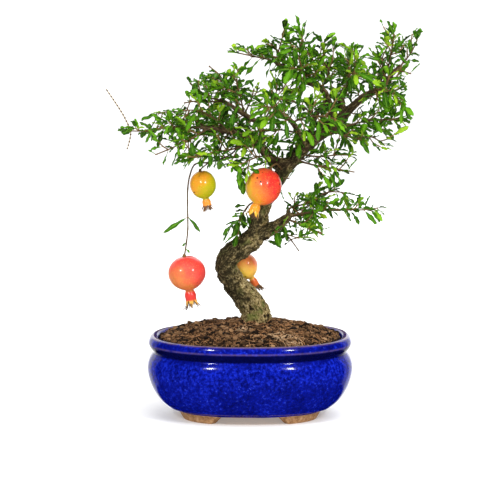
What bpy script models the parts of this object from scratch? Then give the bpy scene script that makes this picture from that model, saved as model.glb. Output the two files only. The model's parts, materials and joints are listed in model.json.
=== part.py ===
"""Dwarf pomegranate bonsai in an oval glazed pot.

The pot stands on four clay feet, holds a mound of peaty soil over two drain screens,
and the S-shaped trunk stands in a hole in the soil. Limbs leave the trunk as one piece
of wood. Each leafy stem starts on the wood, and four fruits hang in the tree.

Lengths are in millimetres until a mesh is made. X is along the pot, Y is its depth, with
the front at -Y, and Z is up from the surface that the pot stands on.
"""

import math
import random
from dataclasses import dataclass, field

import bmesh
import bpy
from mathutils import Matrix, Vector, noise
from mathutils.bvhtree import BVHTree

MM = 0.001
GAP = 0.35
UP = Vector((0.0, 0.0, 1.0))

# The pot's centre, set so that the whole object's box is centred on the origin
POT_CENTRE = Vector((-13.8, -3.5, 0.0))

# Pot: half-widths along X, the depth is a share of them
POT_DEPTH_SHARE = 0.78
POT_SQUARENESS = 2.3
POT_SECTORS = 28
POT_FLOOR = 15.0
POT_UNDERSIDE = 8.0
# From the middle of the underside, out round the bead, belly, groove and rim, and back
# down the inside to the middle of the floor: half-width, height
POT_OUTSIDE = [
    (68.0, 8.0), (73.5, 8.0), (75.0, 10.4), (81.5, 11.0), (91.6, 20.0), (99.3, 33.3),
    (103.0, 48.0), (101.4, 59.0), (96.6, 67.0), (99.0, 69.2), (101.8, 75.0), (99.8, 81.2),
    (96.0, 82.8), (92.6, 81.4),
]
POT_INSIDE = [
    (91.5, 78.6), (91.5, 69.0), (95.6, 50.0), (93.0, 32.0), (86.0, 21.0), (74.0, 15.0),
]
DRAIN_X = 36.0
DRAIN_RADIUS = 7.0
DRAIN_SECTORS = 12
DRAIN_CUT_PAST = 5.0
# Feet: middle and half-angles round the oval in degrees, and half-widths at top and bottom
FOOT_MIDDLES = (39.0, 141.0, 219.0, 321.0)
FOOT_HALF_TOP = 30.0
FOOT_HALF_BOTTOM = 20.0
FOOT_OUTER = (73.0, 69.0)
FOOT_INNER = (57.0, 60.0)
FOOT_INTO_POT = 2.0
FOOT_CORNERS = (-1.0, -0.33, 0.33, 1.0)
SCREEN_SIDE = 24.0
SCREEN_THICK = 1.0
SCREEN_HOLES = 2
SCREEN_BAR = 3.0

# Soil
SOIL_EDGE = 79.6
SOIL_RISE = 12.0
SOIL_HUMP = 4.5
SOIL_HUMP_REACH = 30.0
SOIL_RINGS = (0.92, 0.79, 0.62, 0.44, 0.24)
SOIL_WALL_GAP = 0.6
# Lumps of the surface: how wide, how high, and where in the noise they are read
SOIL_LUMPS = ((11.0, 2.4, 3.0), (5.0, 1.2, 9.0))
SOIL_BOTTOM = POT_FLOOR + GAP + SCREEN_THICK + GAP

# Trunk base, a plain prism below the bark's relief
STUMP_MIDDLE = (6.5, 14.0)
STUMP_BOTTOM = 80.0
STUMP_TOP = 99.0
STUMP_HALF = 15.0
STUMP_COLLAR = 2.5
STUMP_CUT_PAST = 25.0
TRUNK_SIDES = 10
TRUNK_RING_STEP = 8.5
TRUNK_RELIEF = 0.16
LIMB_SIDES = 6
LIMB_RING_STEP = 13.0
LIMB_RELIEF = 0.12
THIN_LIMB = 6.5
BARK_LUMP = 9.0

# Wood: middle line and thickness, x, y, z, diameter
TRUNK = [
    (6.5, 14, STUMP_TOP, 30), (3.5, 12, 107, 26), (-4.5, 9, 120, 24.5), (-14.5, 6, 132, 22.5),
    (-21.5, 3, 144, 22), (-24.5, 2, 155, 20.5), (-18, 1, 165, 21), (-7, 1, 172, 21),
    (4, 2, 180, 20.5), (9, 3, 193, 18), (11, 4, 209, 16.5), (21, 4, 228, 15), (34, 2, 248, 13.5),
    (50, 0, 267, 12.7), (64, 0, 280, 12), (77, 0, 291, 12), (88, 0, 300, 11), (94, 0, 306, 9),
]
LIMBS = {
    "right_lower": [(3, 2, 180, 15), (20, -4, 190, 13.5), (31, -7, 197, 10.5), (41, -8, 206, 7.5)],
    "left": [(42, 1, 257, 8.4), (20, -5, 261, 6.6), (9, -8, 273, 6), (-6, -11, 284, 5.4),
             (-28, -14, 291, 5), (-50, -16, 294, 4.6)],
    "upper_left": [(12, -7, 270, 6), (10, -6, 294, 5.4), (-8, -5, 307, 4.8), (-30, -3, 321, 4.2)],
    "top_left": [(85, 0, 298, 8), (77, 2, 321, 6.6), (70, 4, 331, 6), (47, 8, 341, 5.2), (24, 12, 357, 4.4)],
    "top": [(93, 0, 304, 8.6), (91, 4, 321, 7), (98, 6, 334, 5.8), (104, 8, 345, 4.6)],
    "top_right": [(93, 0, 304, 8.6), (112, -2, 322, 7.4), (128, -4, 331, 6), (141, -5, 346, 5),
                  (150, -5, 355, 4.2)],
    "right_upper": [(66, 0, 282, 7), (84, -6, 289, 5.4), (96, -8, 294, 4.4)],
    "front": [(54, 0, 271, 7.4), (49, -20, 288, 6), (41, -40, 303, 5), (31, -55, 313, 4.2)],
    "back": [(60, 1, 277, 7.4), (62, 20, 291, 6), (69, 40, 304, 5), (78, 57, 314, 4.2)],
    "back_left": [(32, 3, 246, 8), (22, 19, 259, 6.4), (8, 38, 274, 5.2), (-8, 55, 287, 4.2)],
}

# Leafy stems, each along its own line from inside the wood out to its tip
STEMS = {
    "left_tip": [(-48, -16, 294), (-68, -17, 294), (-85, -18, 294), (-99, -18, 291), (-119, -19, 291)],
    "left_low": [(-42, -15, 293), (-56, -24, 285), (-76, -30, 276), (-94, -34, 269)],
    "left_high": [(-45, -16, 294), (-58, -6, 303), (-76, 2, 308), (-92, 6, 305)],
    "left_crest": [(-22, -13, 289), (-34, -17, 302), (-50, -20, 311), (-66, -22, 312)],
    "left_hanging": [(-20, -13, 288), (-30, -20, 274), (-19, -23, 260), (-9, -25, 249)],
    "left_back": [(-24, -13, 290), (-30, 4, 284), (-42, 20, 282), (-58, 30, 280)],
    "left_under": [(6, -10, 275), (-3, -20, 276), (-22, -28, 273), (-42, -31, 270), (-60, -32, 265)],
    "left_front": [(17, -7, 263), (12, -19, 266), (4, -29, 265), (-9, -37, 260)],
    "cluster_top": [(-28, -3, 320), (-26, -2, 337), (-33, -2, 347), (-41, -2, 354)],
    "cluster_left": [(-28, -3, 320), (-42, -7, 323), (-52, -9, 330), (-60, -10, 338)],
    "cluster_stub": [(-27, -3, 319), (-40, 4, 317), (-54, 8, 318), (-66, 12, 315)],
    "cluster_back": [(-18, -4, 313), (-21, 14, 324), (-27, 31, 333), (-34, 45, 338)],
    "cluster_middle": [(-6, -5, 306), (-9, -12, 322), (-13, -15, 337), (-12, -17, 352)],
    "right_low_tip": [(38, -8, 204), (60, -10, 208), (78, -12, 211), (96, -13, 211),
                      (112, -14, 211), (128, -14, 213)],
    "right_low_upper": [(33, -7, 198), (43, -2, 214), (56, 0, 215), (68, 2, 222), (84, 3, 228), (93, 3, 226)],
    "right_low_front": [(36, -8, 201), (48, -20, 198), (60, -30, 194), (72, -38, 190)],
    "right_low_drop": [(27, -6, 194), (36, 2, 184), (44, 6, 174), (49, 8, 166)],
    "right_low_back": [(31, -6, 197), (42, 12, 203), (56, 28, 208), (72, 38, 211)],
    "trunk_twig": [(13, 4, 212), (2, 4, 215), (-7, 3, 208), (-10, 1, 196), (-12, -1, 184)],
    "right_high_tip": [(92, -8, 293), (112, -9, 299), (130, -10, 301), (150, -10, 302)],
    "right_high_drop": [(84, -6, 289), (97, -12, 284), (110, -14, 283), (124, -15, 284), (134, -17, 276)],
    "right_middle": [(50, 0, 266), (66, -4, 263), (84, -6, 265), (99, -6, 265)],
    "right_thin": [(45, 1, 261), (56, -8, 257), (74, -12, 254), (104, -14, 249)],
    "right_back": [(76, 0, 291), (92, 16, 292), (110, 29, 290), (127, 38, 286)],
    "crown_tip": [(141, -5, 346), (150, -5, 355), (157, -5, 363), (162, -5, 371), (166, -5, 380)],
    "crown_inner": [(139, -5, 344), (137, -9, 358), (141, -12, 372), (143, -14, 387)],
    "crown_spire": [(136, -4, 340), (131, 6, 355), (134, 9, 365), (139, 10, 375)],
    "crown_side": [(143, -5, 348), (153, -8, 349), (160, -11, 347)],
    "crown_drop": [(124, -4, 329), (138, -9, 327), (151, -12, 316)],
    "crown_back": [(120, -3, 327), (129, 14, 334), (140, 31, 338), (150, 45, 337)],
    "crown_front": [(116, -2, 324), (122, -19, 331), (132, -36, 335), (142, -50, 333)],
    "top_upright": [(98, 6, 334), (104, 8, 345), (106, 8, 356), (103, 6, 368)],
    "top_front": [(97, 6, 333), (97, -12, 343), (101, -29, 350), (104, -44, 352)],
    "top_back": [(96, 6, 332), (97, 24, 343), (98, 42, 351), (98, 57, 353)],
    "peak_tip": [(34, 10, 351), (30, 15, 364), (20, 16, 375)],
    "peak_left": [(34, 10, 351), (24, 12, 357), (10, 10, 361), (-6, 8, 364), (-13, 8, 366)],
    "peak_twig": [(45, 8, 341), (54, 8, 354), (44, 8, 365), (40, 8, 376)],
    "peak_spire": [(52, 7, 339), (61, 0, 356), (55, -3, 372), (50, -4, 387)],
    "peak_right": [(70, 4, 330), (79, 4, 347), (70, 3, 362), (73, 2, 377)],
    "peak_front": [(58, 6, 336), (55, -12, 346), (48, -30, 354), (40, -45, 357)],
    "peak_back": [(46, 8, 342), (40, 26, 350), (31, 43, 355), (21, 56, 356)],
    "front_tip": [(33, -53, 311), (24, -64, 319), (12, -74, 323)],
    "front_right": [(42, -38, 302), (56, -50, 309), (70, -60, 311), (84, -68, 309)],
    "front_left": [(49, -20, 288), (34, -28, 293), (18, -34, 294), (2, -38, 293)],
    "back_tip": [(76, 54, 312), (84, 66, 320), (94, 76, 323)],
    "back_side": [(66, 32, 299), (52, 44, 308), (38, 54, 313), (22, 62, 313)],
    "back_left_tip": [(0, 47, 281), (-8, 55, 287), (-22, 64, 292), (-36, 71, 293)],
    "back_left_side": [(10, 35, 272), (-6, 33, 281), (-26, 34, 288), (-44, 36, 290)],
}

# Outline of the crown, x and z, as it looks from the front and a little above, where a place
# further back looks higher by this share: no leaf or side twig reaches past it. From (96, 251)
# it runs in and back, round the gap between the trunk and the twigs on its right
CROWN_OUTLINE = [
    (-133, 288), (-119, 302), (-102, 303), (-98, 313), (-84, 309), (-70, 311), (-59, 306),
    (-51, 316), (-65, 322), (-63, 343), (-52, 340), (-44, 349), (-28, 345), (-18, 358), (-4, 353),
    (12, 349), (16, 360), (2, 364), (-23, 368), (-19, 378), (-5, 373), (8, 378), (20, 388),
    (36, 378), (31, 393), (35, 401), (42, 411), (60, 411), (65, 399), (64, 388), (72, 384),
    (84, 390), (87, 379), (96, 374), (102, 380), (116, 378), (123, 374), (128, 383), (126, 402),
    (142, 399), (148, 385), (158, 383), (170, 395), (174, 387), (166, 375), (168, 365),
    (177, 356), (166, 351), (155, 349), (158, 334), (156, 312), (164, 300), (156, 292),
    (148, 282), (143, 267), (134, 269), (127, 254), (119, 255), (116, 271), (108, 273),
    (107, 257), (96, 251), (68, 249), (66, 239), (62, 230), (50, 228), (34, 227), (34, 237),
    (40, 244), (47, 252), (53, 257), (64, 255), (68, 249), (96, 251), (107, 246), (93, 238),
    (92, 231), (104, 225), (116, 227), (136, 211), (137, 200), (129, 190), (120, 194),
    (117, 206), (102, 206), (111, 192), (112, 178), (100, 180), (96, 198), (84, 200), (78, 184),
    (66, 174), (52, 178), (42, 185), (34, 169), (24, 172), (18, 190), (-10, 168), (-28, 176),
    (-24, 196), (-27, 208), (-18, 229), (-12, 241), (-24, 249), (-34, 241), (-46, 247),
    (-54, 255), (-68, 246), (-73, 256), (-82, 245), (-88, 250), (-88, 263), (-102, 267),
    (-107, 278), (-120, 281),
]
VIEW_RISE = 0.167

# Bare stalks that carry the fruits: the long branch on the left bears two of them
FRUIT_BRANCH = [
    (-6, -11, 284), (-18, -17, 268), (-40, -21, 260), (-51, -22, 260), (-56, -22, 256), (-60, -23, 246),
    (-62, -23, 232), (-62, -23, 212), (-62, -23, 190), (-63.5, -23, 178), (-65.2, -23, 166.5),
]
FRUIT_BRANCH_STEP = 13.0
FRUIT_BRANCH_HALF = 1.2
# Two leafless twigs at the end of the left stem: which knot they leave, and their tips
BARE_TWIGS = ((-1, (-142, -20, 332)), (-1, (-122, -22, 273)))
BARE_TWIG_KNOTS = (0.45, 1.0)
SMALL_STALK_KNOT = 3
SMALL_STALK = [(-48.5, -22, 260), (-48.6, -22, 256), (-48.8, -22, 252.6)]
FRONT_STALK = [(33, 1, 247), (28, -12, 256), (23, -20, 258), (20.6, -24, 254.8)]
BACK_STALK = [(-16, 6, 168), (-13.5, 17, 169), (-12.4, 24.5, 160.6)]
# Their knot spacing, half-diagonal and the way to the first knot
FRONT_STALK_SIZES = (9.0, 1.3, 4.0)
BACK_STALK_SIZES = (6.0, 1.1, 1.8)

# Fruits: middle, width, height along its own axis, direction of its crown, neck radius,
# how far the crown reaches past the rind, and how far its lobes spread
FRUITS = {
    "fruit_hanging": ((-62.8, -23.0, 148.8), 36.7, 34.8, (0.15, 0.0, -0.99), 5.3, 18.0, 6.6),
    "fruit_yellow": ((-46.8, -22.0, 237.6), 26.6, 28.2, (0.20, -0.04, -0.98), 4.0, 12.5, 7.4),
    "fruit_front": ((13.4, -24.0, 236.0), 36.6, 37.6, (-0.36, -0.10, -0.92), 4.8, 13.5, 7.6),
    "fruit_small": ((-5.5, 26.5, 148.0), 26.0, 27.6, (0.50, 0.05, -0.86), 3.6, 16.5, 5.4),
}
FRUIT_SECTORS = 12
RIND_DEGREES = (30, 58, 84, 110, 134, 152, 163)
RIND_RIBS = 6.0
RIND_RIB_HEIGHT = 0.018
LOBE_WALL = 1.1
LOBE_START = 0.45

# Leafy stems: half-diagonals of their square section, and how knots and leaves follow
STEM_BASE = 1.1
STEM_SWELL = 0.008
STEM_TIP = 0.95
TWIG_HALF = 0.92
KNOT_HALF_LENGTH = 0.8
KNOT_STEP = 14.5
FIRST_KNOT = 4.0
BASE_LIFT = 0.15
BASE_LIFTS = 10
BARK_PROBE_START = 8.0
BARK_PROBE_REACH = 14.0
TWIG_EVERY = 3
TWIG_LENGTHS = (15.0, 25.0)
TWIG_LEANS = (48.0, 62.0)
TWIG_LOWEST_FACING = -0.55
LEAF_LENGTHS = (15.0, 23.0)
LEAF_SHAPE = 0.30
LEAF_LEANS = (48.0, 72.0)
TIP_LEAF_LEANS = (34.0, 52.0)
TIP_LEAF_SCALE = 0.9
LEAF_ROLL = 38.0
LEAF_DROOP = (-0.02, 0.22)
LEAF_STATIONS = ((0.34, 0.94), (0.68, 0.86))
LEAF_FOLD = 0.35
LEAF_RIB = 0.8
LEAF_WAVE = 0.45
# The place along a leaf that is tested against the crown's outline beside its tip
LEAF_BELLY = 0.6
# A piece keeps clear of other stems from further out than of its own
CLEAR_FROM = 3.0
CLEAR_FROM_OWN = 0.3
CLEARANCE = 0.35
TRIES = 8
SHRINK = 0.06


class Line:
    """A smooth curve through points, measured along its length."""

    def __init__(self, points, steps=10):
        rows = [Vector(point) for point in points]
        self.samples = []
        for index in range(len(rows) - 1):
            before = rows[max(index - 1, 0)]
            start, end = rows[index], rows[index + 1]
            after = rows[min(index + 2, len(rows) - 1)]
            for step in range(steps):
                t = step / steps
                self.samples.append(0.5 * (2 * start + (end - before) * t
                                           + (2 * before - 5 * start + 4 * end - after) * t * t
                                           + (3 * start - before - 3 * end + after) * t ** 3))
        self.samples.append(rows[-1])
        self.reach = [0.0]
        for index in range(1, len(self.samples)):
            run = self.samples[index].xyz - self.samples[index - 1].xyz
            self.reach.append(self.reach[-1] + run.length)
        self.length = self.reach[-1]

    def row(self, distance):
        """The point there, with any further values that the points carry."""
        distance = min(max(distance, 0.0), self.length)
        index = 1
        while self.reach[index] < distance and index < len(self.reach) - 1:
            index += 1
        span = self.reach[index] - self.reach[index - 1]
        share = (distance - self.reach[index - 1]) / span if span > 0 else 0.0
        return self.samples[index - 1].lerp(self.samples[index], share)

    def at(self, distance):
        return self.row(distance).xyz

    def along(self, distance):
        near = self.at(max(distance - 1.0, 0.0))
        far = self.at(min(distance + 1.0, self.length))
        return (far - near).normalized()


@dataclass
class Ring:
    """A square section of a stem: where it is, its axes and its half-diagonal."""

    centre: Vector
    along: Vector
    across: Vector
    half: float

    @property
    def beside(self):
        return self.along.cross(self.across)

    def corners(self):
        """Corners 0 to 3, with side 0 facing across and side 1 facing beside."""
        turns = [math.radians(45.0 + 90.0 * (index - 1)) for index in range(4)]
        return [self.centre + (self.across * math.cos(turn) + self.beside * math.sin(turn)) * self.half
                for turn in turns]

    def facing(self, side):
        return (self.across, self.beside, -self.across, -self.beside)[side]

    def moved(self, shift):
        return Ring(self.centre + self.along * shift, self.along, self.across, self.half)


@dataclass
class Leaf:
    """A narrow blade: foot, direction, crosswise direction, size, droop and wave."""

    foot: Vector
    out: Vector
    side: Vector
    length: float
    width: float
    droop: float
    wave: float

    def section(self, share):
        """Middle of the blade and its upward normal at a share of its length."""
        middle = self.foot + (self.out * share - UP * self.droop * share * share) * self.length
        along = (self.out - UP * (2.0 * self.droop * share)).normalized()
        return middle, along.cross(self.side).normalized()

    def ring(self, share, width_share, wave, margin=0.0):
        middle, normal = self.section(share)
        half = self.side * (0.5 * self.width * width_share + margin)
        edge = LEAF_FOLD * width_share
        return [middle + half + normal * (edge + wave), middle + normal * (0.1 + margin),
                middle - half + normal * (edge - wave), middle - normal * (LEAF_RIB + margin)]

    def rings(self):
        (near, near_width), (far, far_width) = LEAF_STATIONS
        return [self.ring(near, near_width, self.wave), self.ring(far, far_width, -self.wave)]

    def tip(self, extra=0.0):
        return self.section(1.0 + extra / self.length)[0]

    def body(self, margin, clear_from):
        """Closed surface of the blade from a little way off its stem, grown by a margin."""
        start = clear_from / self.length
        (near, near_width), (far, far_width) = LEAF_STATIONS
        start_width = 0.3 + 0.7 * near_width * start / near
        points = (self.ring(start, start_width, 0.0, margin) + self.ring(near, near_width, self.wave, margin)
                  + self.ring(far, far_width, -self.wave, margin) + [self.tip(margin)])
        faces = [(3, 2, 1, 0)] + side_faces(0, 4) + side_faces(4, 4)
        faces += [(8 + i, 8 + (i + 1) % 4, 12) for i in range(4)]
        return points, faces


@dataclass
class Knot:
    """A short length of stem that leaves and twigs grow from, by the side they are on."""

    ring: Ring
    grown: dict = field(default_factory=dict)


@dataclass
class Stem:
    """A stem: the four corners that it starts from, and its knots in order."""

    name: str
    base: list
    knots: list


class Obstacles:
    """Everything placed so far, held in a coarse grid so that a crossing is found fast."""

    CELL = 25.0

    def __init__(self):
        self.cells = {}
        self.always = []

    def add(self, points, faces, owner, everywhere=False):
        entry = (owner, BVHTree.FromPolygons(points, faces))
        if everywhere:
            self.always.append(entry)
            return
        for cell in self.touched(points):
            self.cells.setdefault(cell, []).append(entry)

    def touched(self, points):
        low = [math.floor((min(p[i] for p in points) - 0.5) / self.CELL) for i in range(3)]
        high = [math.floor((max(p[i] for p in points) + 0.5) / self.CELL) for i in range(3)]
        return [(x, y, z) for x in range(low[0], high[0] + 1) for y in range(low[1], high[1] + 1)
                for z in range(low[2], high[2] + 1)]

    def hit(self, points, faces, but_owner=None):
        """Whether a closed surface crosses anything placed, apart from one owner's pieces."""
        tree = BVHTree.FromPolygons(points, faces)
        near = list(self.always)
        for cell in self.touched(points):
            near += [entry for entry in self.cells.get(cell, []) if entry not in near]
        return any(owner != but_owner and tree.overlap(other) for owner, other in near)


def halves(quad):
    """The two triangles of a quad, always split the same way."""
    return [(quad[0], quad[1], quad[2]), (quad[0], quad[2], quad[3])]


def side_faces(start, count):
    """Triangles between a ring of points and the ring after it."""
    faces = []
    for i in range(count):
        after = (i + 1) % count
        faces += halves((start + i, start + after, start + count + after, start + count + i))
    return faces


def tube(rings):
    """Points and faces of a closed tube through lists of corners."""
    count = len(rings[0])
    points = [corner for ring in rings for corner in ring]
    faces = [tuple(reversed(range(count)))]
    for level in range(len(rings) - 1):
        faces += side_faces(level * count, count)
    top = (len(rings) - 1) * count
    faces.append(tuple(top + i for i in range(count)))
    return points, faces


def carried(across, along):
    """A crosswise direction carried on to a new direction along the stem."""
    return (across - along * across.dot(along)).normalized()


def material(name, colour, roughness, metallic=0.0):
    result = bpy.data.materials.new(name)
    result.use_nodes = True
    shader = result.node_tree.nodes["Principled BSDF"]
    shader.inputs["Base Color"].default_value = (*colour, 1.0)
    shader.inputs["Roughness"].default_value = roughness
    shader.inputs["Metallic"].default_value = metallic
    result.diffuse_color = (*colour, 1.0)
    return result


def add_object(name, points, faces, finish):
    """An object from points in millimetres about the pot's centre."""
    mesh = bpy.data.meshes.new(name)
    placed = [(Vector(point) + POT_CENTRE) * MM for point in points]
    mesh.from_pydata(placed, [], faces)
    mesh.materials.append(finish)
    mesh.update()
    result = bpy.data.objects.new(name, mesh)
    bpy.context.scene.collection.objects.link(result)
    return result


def apply_boolean(target, others, operation, solver="EXACT"):
    """Join or cut with other objects, apply the result and remove the others."""
    group = bpy.data.collections.new(target.name + "_operands")
    bpy.context.scene.collection.children.link(group)
    for other in others:
        bpy.context.scene.collection.objects.unlink(other)
        group.objects.link(other)
    modifier = target.modifiers.new("boolean", "BOOLEAN")
    modifier.operation = operation
    modifier.operand_type = "COLLECTION"
    modifier.collection = group
    modifier.solver = solver
    graph = bpy.context.evaluated_depsgraph_get()
    mesh = bpy.data.meshes.new_from_object(target.evaluated_get(graph))
    target.modifiers.remove(modifier)
    target.data = mesh
    for other in others:
        bpy.data.objects.remove(other)
    bpy.data.collections.remove(group)


def split_faces(target):
    """Triangles in place of larger faces, so that the surface is the same wherever it is read."""
    builder = bmesh.new()
    builder.from_mesh(target.data)
    bmesh.ops.remove_doubles(builder, verts=builder.verts, dist=0.00002)
    bmesh.ops.triangulate(builder, faces=builder.faces[:])
    builder.to_mesh(target.data)
    builder.free()


def oval_at(half, degrees, height):
    """The point on the pot's oval at a half-width, angle and height."""
    turn = math.radians(degrees)
    cosine, sine = math.cos(turn), math.sin(turn)
    x = math.copysign(abs(cosine) ** (2.0 / POT_SQUARENESS), cosine) * half
    y = math.copysign(abs(sine) ** (2.0 / POT_SQUARENESS), sine) * half * POT_DEPTH_SHARE
    return Vector((x, y, height))


def oval(half, height):
    """Points round the whole oval, against the clock from above."""
    return [oval_at(half, 360.0 * index / POT_SECTORS, height) for index in range(POT_SECTORS)]


def circle(middle_x, middle_y, radius, height, sides):
    """Points round a circle, against the clock from above."""
    return [Vector((middle_x + radius * math.cos(math.tau * index / sides),
                    middle_y + radius * math.sin(math.tau * index / sides), height))
            for index in range(sides)]


def foot_points(middle):
    """A foot that follows the oval, wider at its top than where it stands."""
    rings = []
    for level, height in enumerate((0.0, POT_UNDERSIDE + FOOT_INTO_POT)):
        reach = FOOT_HALF_TOP if level else FOOT_HALF_BOTTOM
        outer, inner = FOOT_OUTER[1 - level], FOOT_INNER[1 - level]
        angles = [middle + reach * share for share in FOOT_CORNERS]
        rings.append([oval_at(outer, angle, height) for angle in angles]
                     + [oval_at(inner, angle, height) for angle in reversed(angles)])
    return tube(rings)


def build_pot(glaze):
    rings = [oval(half, height) for half, height in POT_OUTSIDE + POT_INSIDE]
    points = [corner for ring in rings for corner in ring]
    count = POT_SECTORS
    faces = []
    for level in range(len(rings) - 1):
        faces += side_faces(level * count, count)
    top = (len(rings) - 1) * count
    faces.append(tuple(reversed(range(count))))
    faces.append(tuple(top + i for i in range(count)))
    pot = add_object("pot", points, faces, glaze)
    feet = [add_object(f"foot_{index}", *foot_points(middle), glaze)
            for index, middle in enumerate(FOOT_MIDDLES)]
    apply_boolean(pot, feet, "UNION")
    drains = []
    for side in (-1, 1):
        hole = [circle(side * DRAIN_X, 0.0, DRAIN_RADIUS, height, DRAIN_SECTORS)
                for height in (-DRAIN_CUT_PAST, POT_FLOOR + DRAIN_CUT_PAST)]
        drains.append(add_object(f"drain_{side}", *tube(hole), glaze))
    apply_boolean(pot, drains, "DIFFERENCE")


def build_screen(name, middle_x, finish):
    """A square of mesh over a drain hole, with square holes through it."""
    pitch = (SCREEN_SIDE - SCREEN_BAR) / SCREEN_HOLES
    edges = [-SCREEN_SIDE / 2]
    for index in range(SCREEN_HOLES):
        low = -SCREEN_SIDE / 2 + SCREEN_BAR + index * pitch
        edges += [low, low + pitch - SCREEN_BAR]
    edges.append(SCREEN_SIDE / 2)
    low_z = POT_FLOOR + GAP
    count = len(edges)
    points = [Vector((middle_x + x, y, low_z + level * SCREEN_THICK))
              for level in (0, 1) for y in edges for x in edges]
    solid = [[not (row % 2 and column % 2) for column in range(count - 1)] for row in range(count - 1)]

    def index_of(level, row, column):
        return level * count * count + row * count + column

    def filled(row, column):
        return 0 <= row < count - 1 and 0 <= column < count - 1 and solid[row][column]

    faces = []
    for row in range(count - 1):
        for column in range(count - 1):
            if not solid[row][column]:
                continue
            corners = [(row, column), (row, column + 1), (row + 1, column + 1), (row + 1, column)]
            faces.append(tuple(index_of(1, *corner) for corner in corners))
            faces.append(tuple(index_of(0, *corner) for corner in reversed(corners)))
            beyond = [(row - 1, column), (row, column + 1), (row + 1, column), (row, column - 1)]
            for side in range(4):
                if filled(*beyond[side]):
                    continue
                start, end = corners[side], corners[(side + 1) % 4]
                faces.append((index_of(0, *start), index_of(0, *end), index_of(1, *end), index_of(1, *start)))
    add_object(name, points, faces, finish)


def soil_height(point, share):
    """Height of the mound at a place, by its share of the way out to the pot's wall."""
    stump = Vector((*STUMP_MIDDLE, 0.0))
    distance = (Vector((point.x, point.y, 0.0)) - stump).length
    hump = SOIL_HUMP * math.exp(-(distance / SOIL_HUMP_REACH) ** 2)
    lumps = sum(rise * noise.noise(Vector((point.x, point.y, level)) / wide)
                for wide, rise, level in SOIL_LUMPS)
    return SOIL_EDGE + SOIL_RISE * (1.0 - share ** 4) + hump + lumps * (1.0 - share ** 8)


def build_soil(finish):
    wall = [(half, height) for half, height in reversed(POT_INSIDE) if height > SOIL_BOTTOM]
    wall[-1] = (wall[-1][0], SOIL_EDGE)
    floor_half, floor_height = POT_INSIDE[-1]
    slope = (wall[0][0] - floor_half) / (wall[0][1] - floor_height)
    wall.insert(0, (floor_half + slope * (SOIL_BOTTOM - floor_height), SOIL_BOTTOM))
    rings = [oval(half - SOIL_WALL_GAP, height) for half, height in wall]
    edge = rings[-1]
    for share in SOIL_RINGS:
        rings.append([Vector((p.x * share, p.y * share, soil_height(p * share, share))) for p in edge])
    count = POT_SECTORS
    points = [corner for ring in rings for corner in ring]
    faces = [tuple(reversed(range(count)))]
    for level in range(len(rings) - 1):
        faces += side_faces(level * count, count)
    points.append(Vector((0.0, 0.0, soil_height(Vector((0, 0, 0)), 0.0))))
    top = (len(rings) - 1) * count
    faces += [(top + i, top + (i + 1) % count, len(points) - 1) for i in range(count)]
    soil = add_object("soil", points, faces, finish)
    hole = tube([round_ring(STUMP_HALF + GAP / math.cos(math.pi / TRUNK_SIDES), height)
                 for height in (STUMP_BOTTOM - GAP, STUMP_TOP + STUMP_CUT_PAST)])
    apply_boolean(soil, [add_object("stump_hole", *hole, finish)], "DIFFERENCE")


def round_ring(radius, height):
    """Corners of the trunk's base at a height."""
    return circle(*STUMP_MIDDLE, radius, height, TRUNK_SIDES)


def wood_rings(rows, sides, step, relief, start_across):
    """Rings of bark round a line of points that carry their thickness."""
    line = Line(rows)
    count = max(2, round(line.length / step))
    across = start_across
    rings = []
    for index in range(count + 1):
        row = line.row(line.length * index / count)
        along = line.along(line.length * index / count)
        across = carried(across, along)
        beside = along.cross(across)
        ring = []
        for turn in (math.tau * i / sides for i in range(sides)):
            facing = across * math.cos(turn) + beside * math.sin(turn)
            swell = noise.noise((row.xyz + facing * row.w * 0.5) / BARK_LUMP)
            ring.append(row.xyz + facing * row.w * 0.5 * (1.0 + relief * swell))
        rings.append(ring)
    return rings


def build_trunk(bark):
    rings = wood_rings(TRUNK, TRUNK_SIDES, TRUNK_RING_STEP, TRUNK_RELIEF, Vector((1.0, 0.0, 0.0)))
    rings[0] = round_ring(STUMP_HALF, STUMP_TOP)
    for corner in rings[1]:
        corner.z = max(corner.z, STUMP_TOP + STUMP_COLLAR)
    rings.insert(0, round_ring(STUMP_HALF, STUMP_BOTTOM))
    trunk = add_object("trunk", *tube(rings), bark)
    limbs = []
    for name, rows in LIMBS.items():
        sides = LIMB_SIDES if rows[0][3] > THIN_LIMB else LIMB_SIDES - 1
        rings = wood_rings(rows, sides, LIMB_RING_STEP, LIMB_RELIEF, Vector((0.3, 1.0, 0.1)))
        limbs.append(add_object("limb_" + name, *tube(rings), bark))
    apply_boolean(trunk, limbs, "UNION", "MANIFOLD")
    split_faces(trunk)
    return trunk


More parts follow.
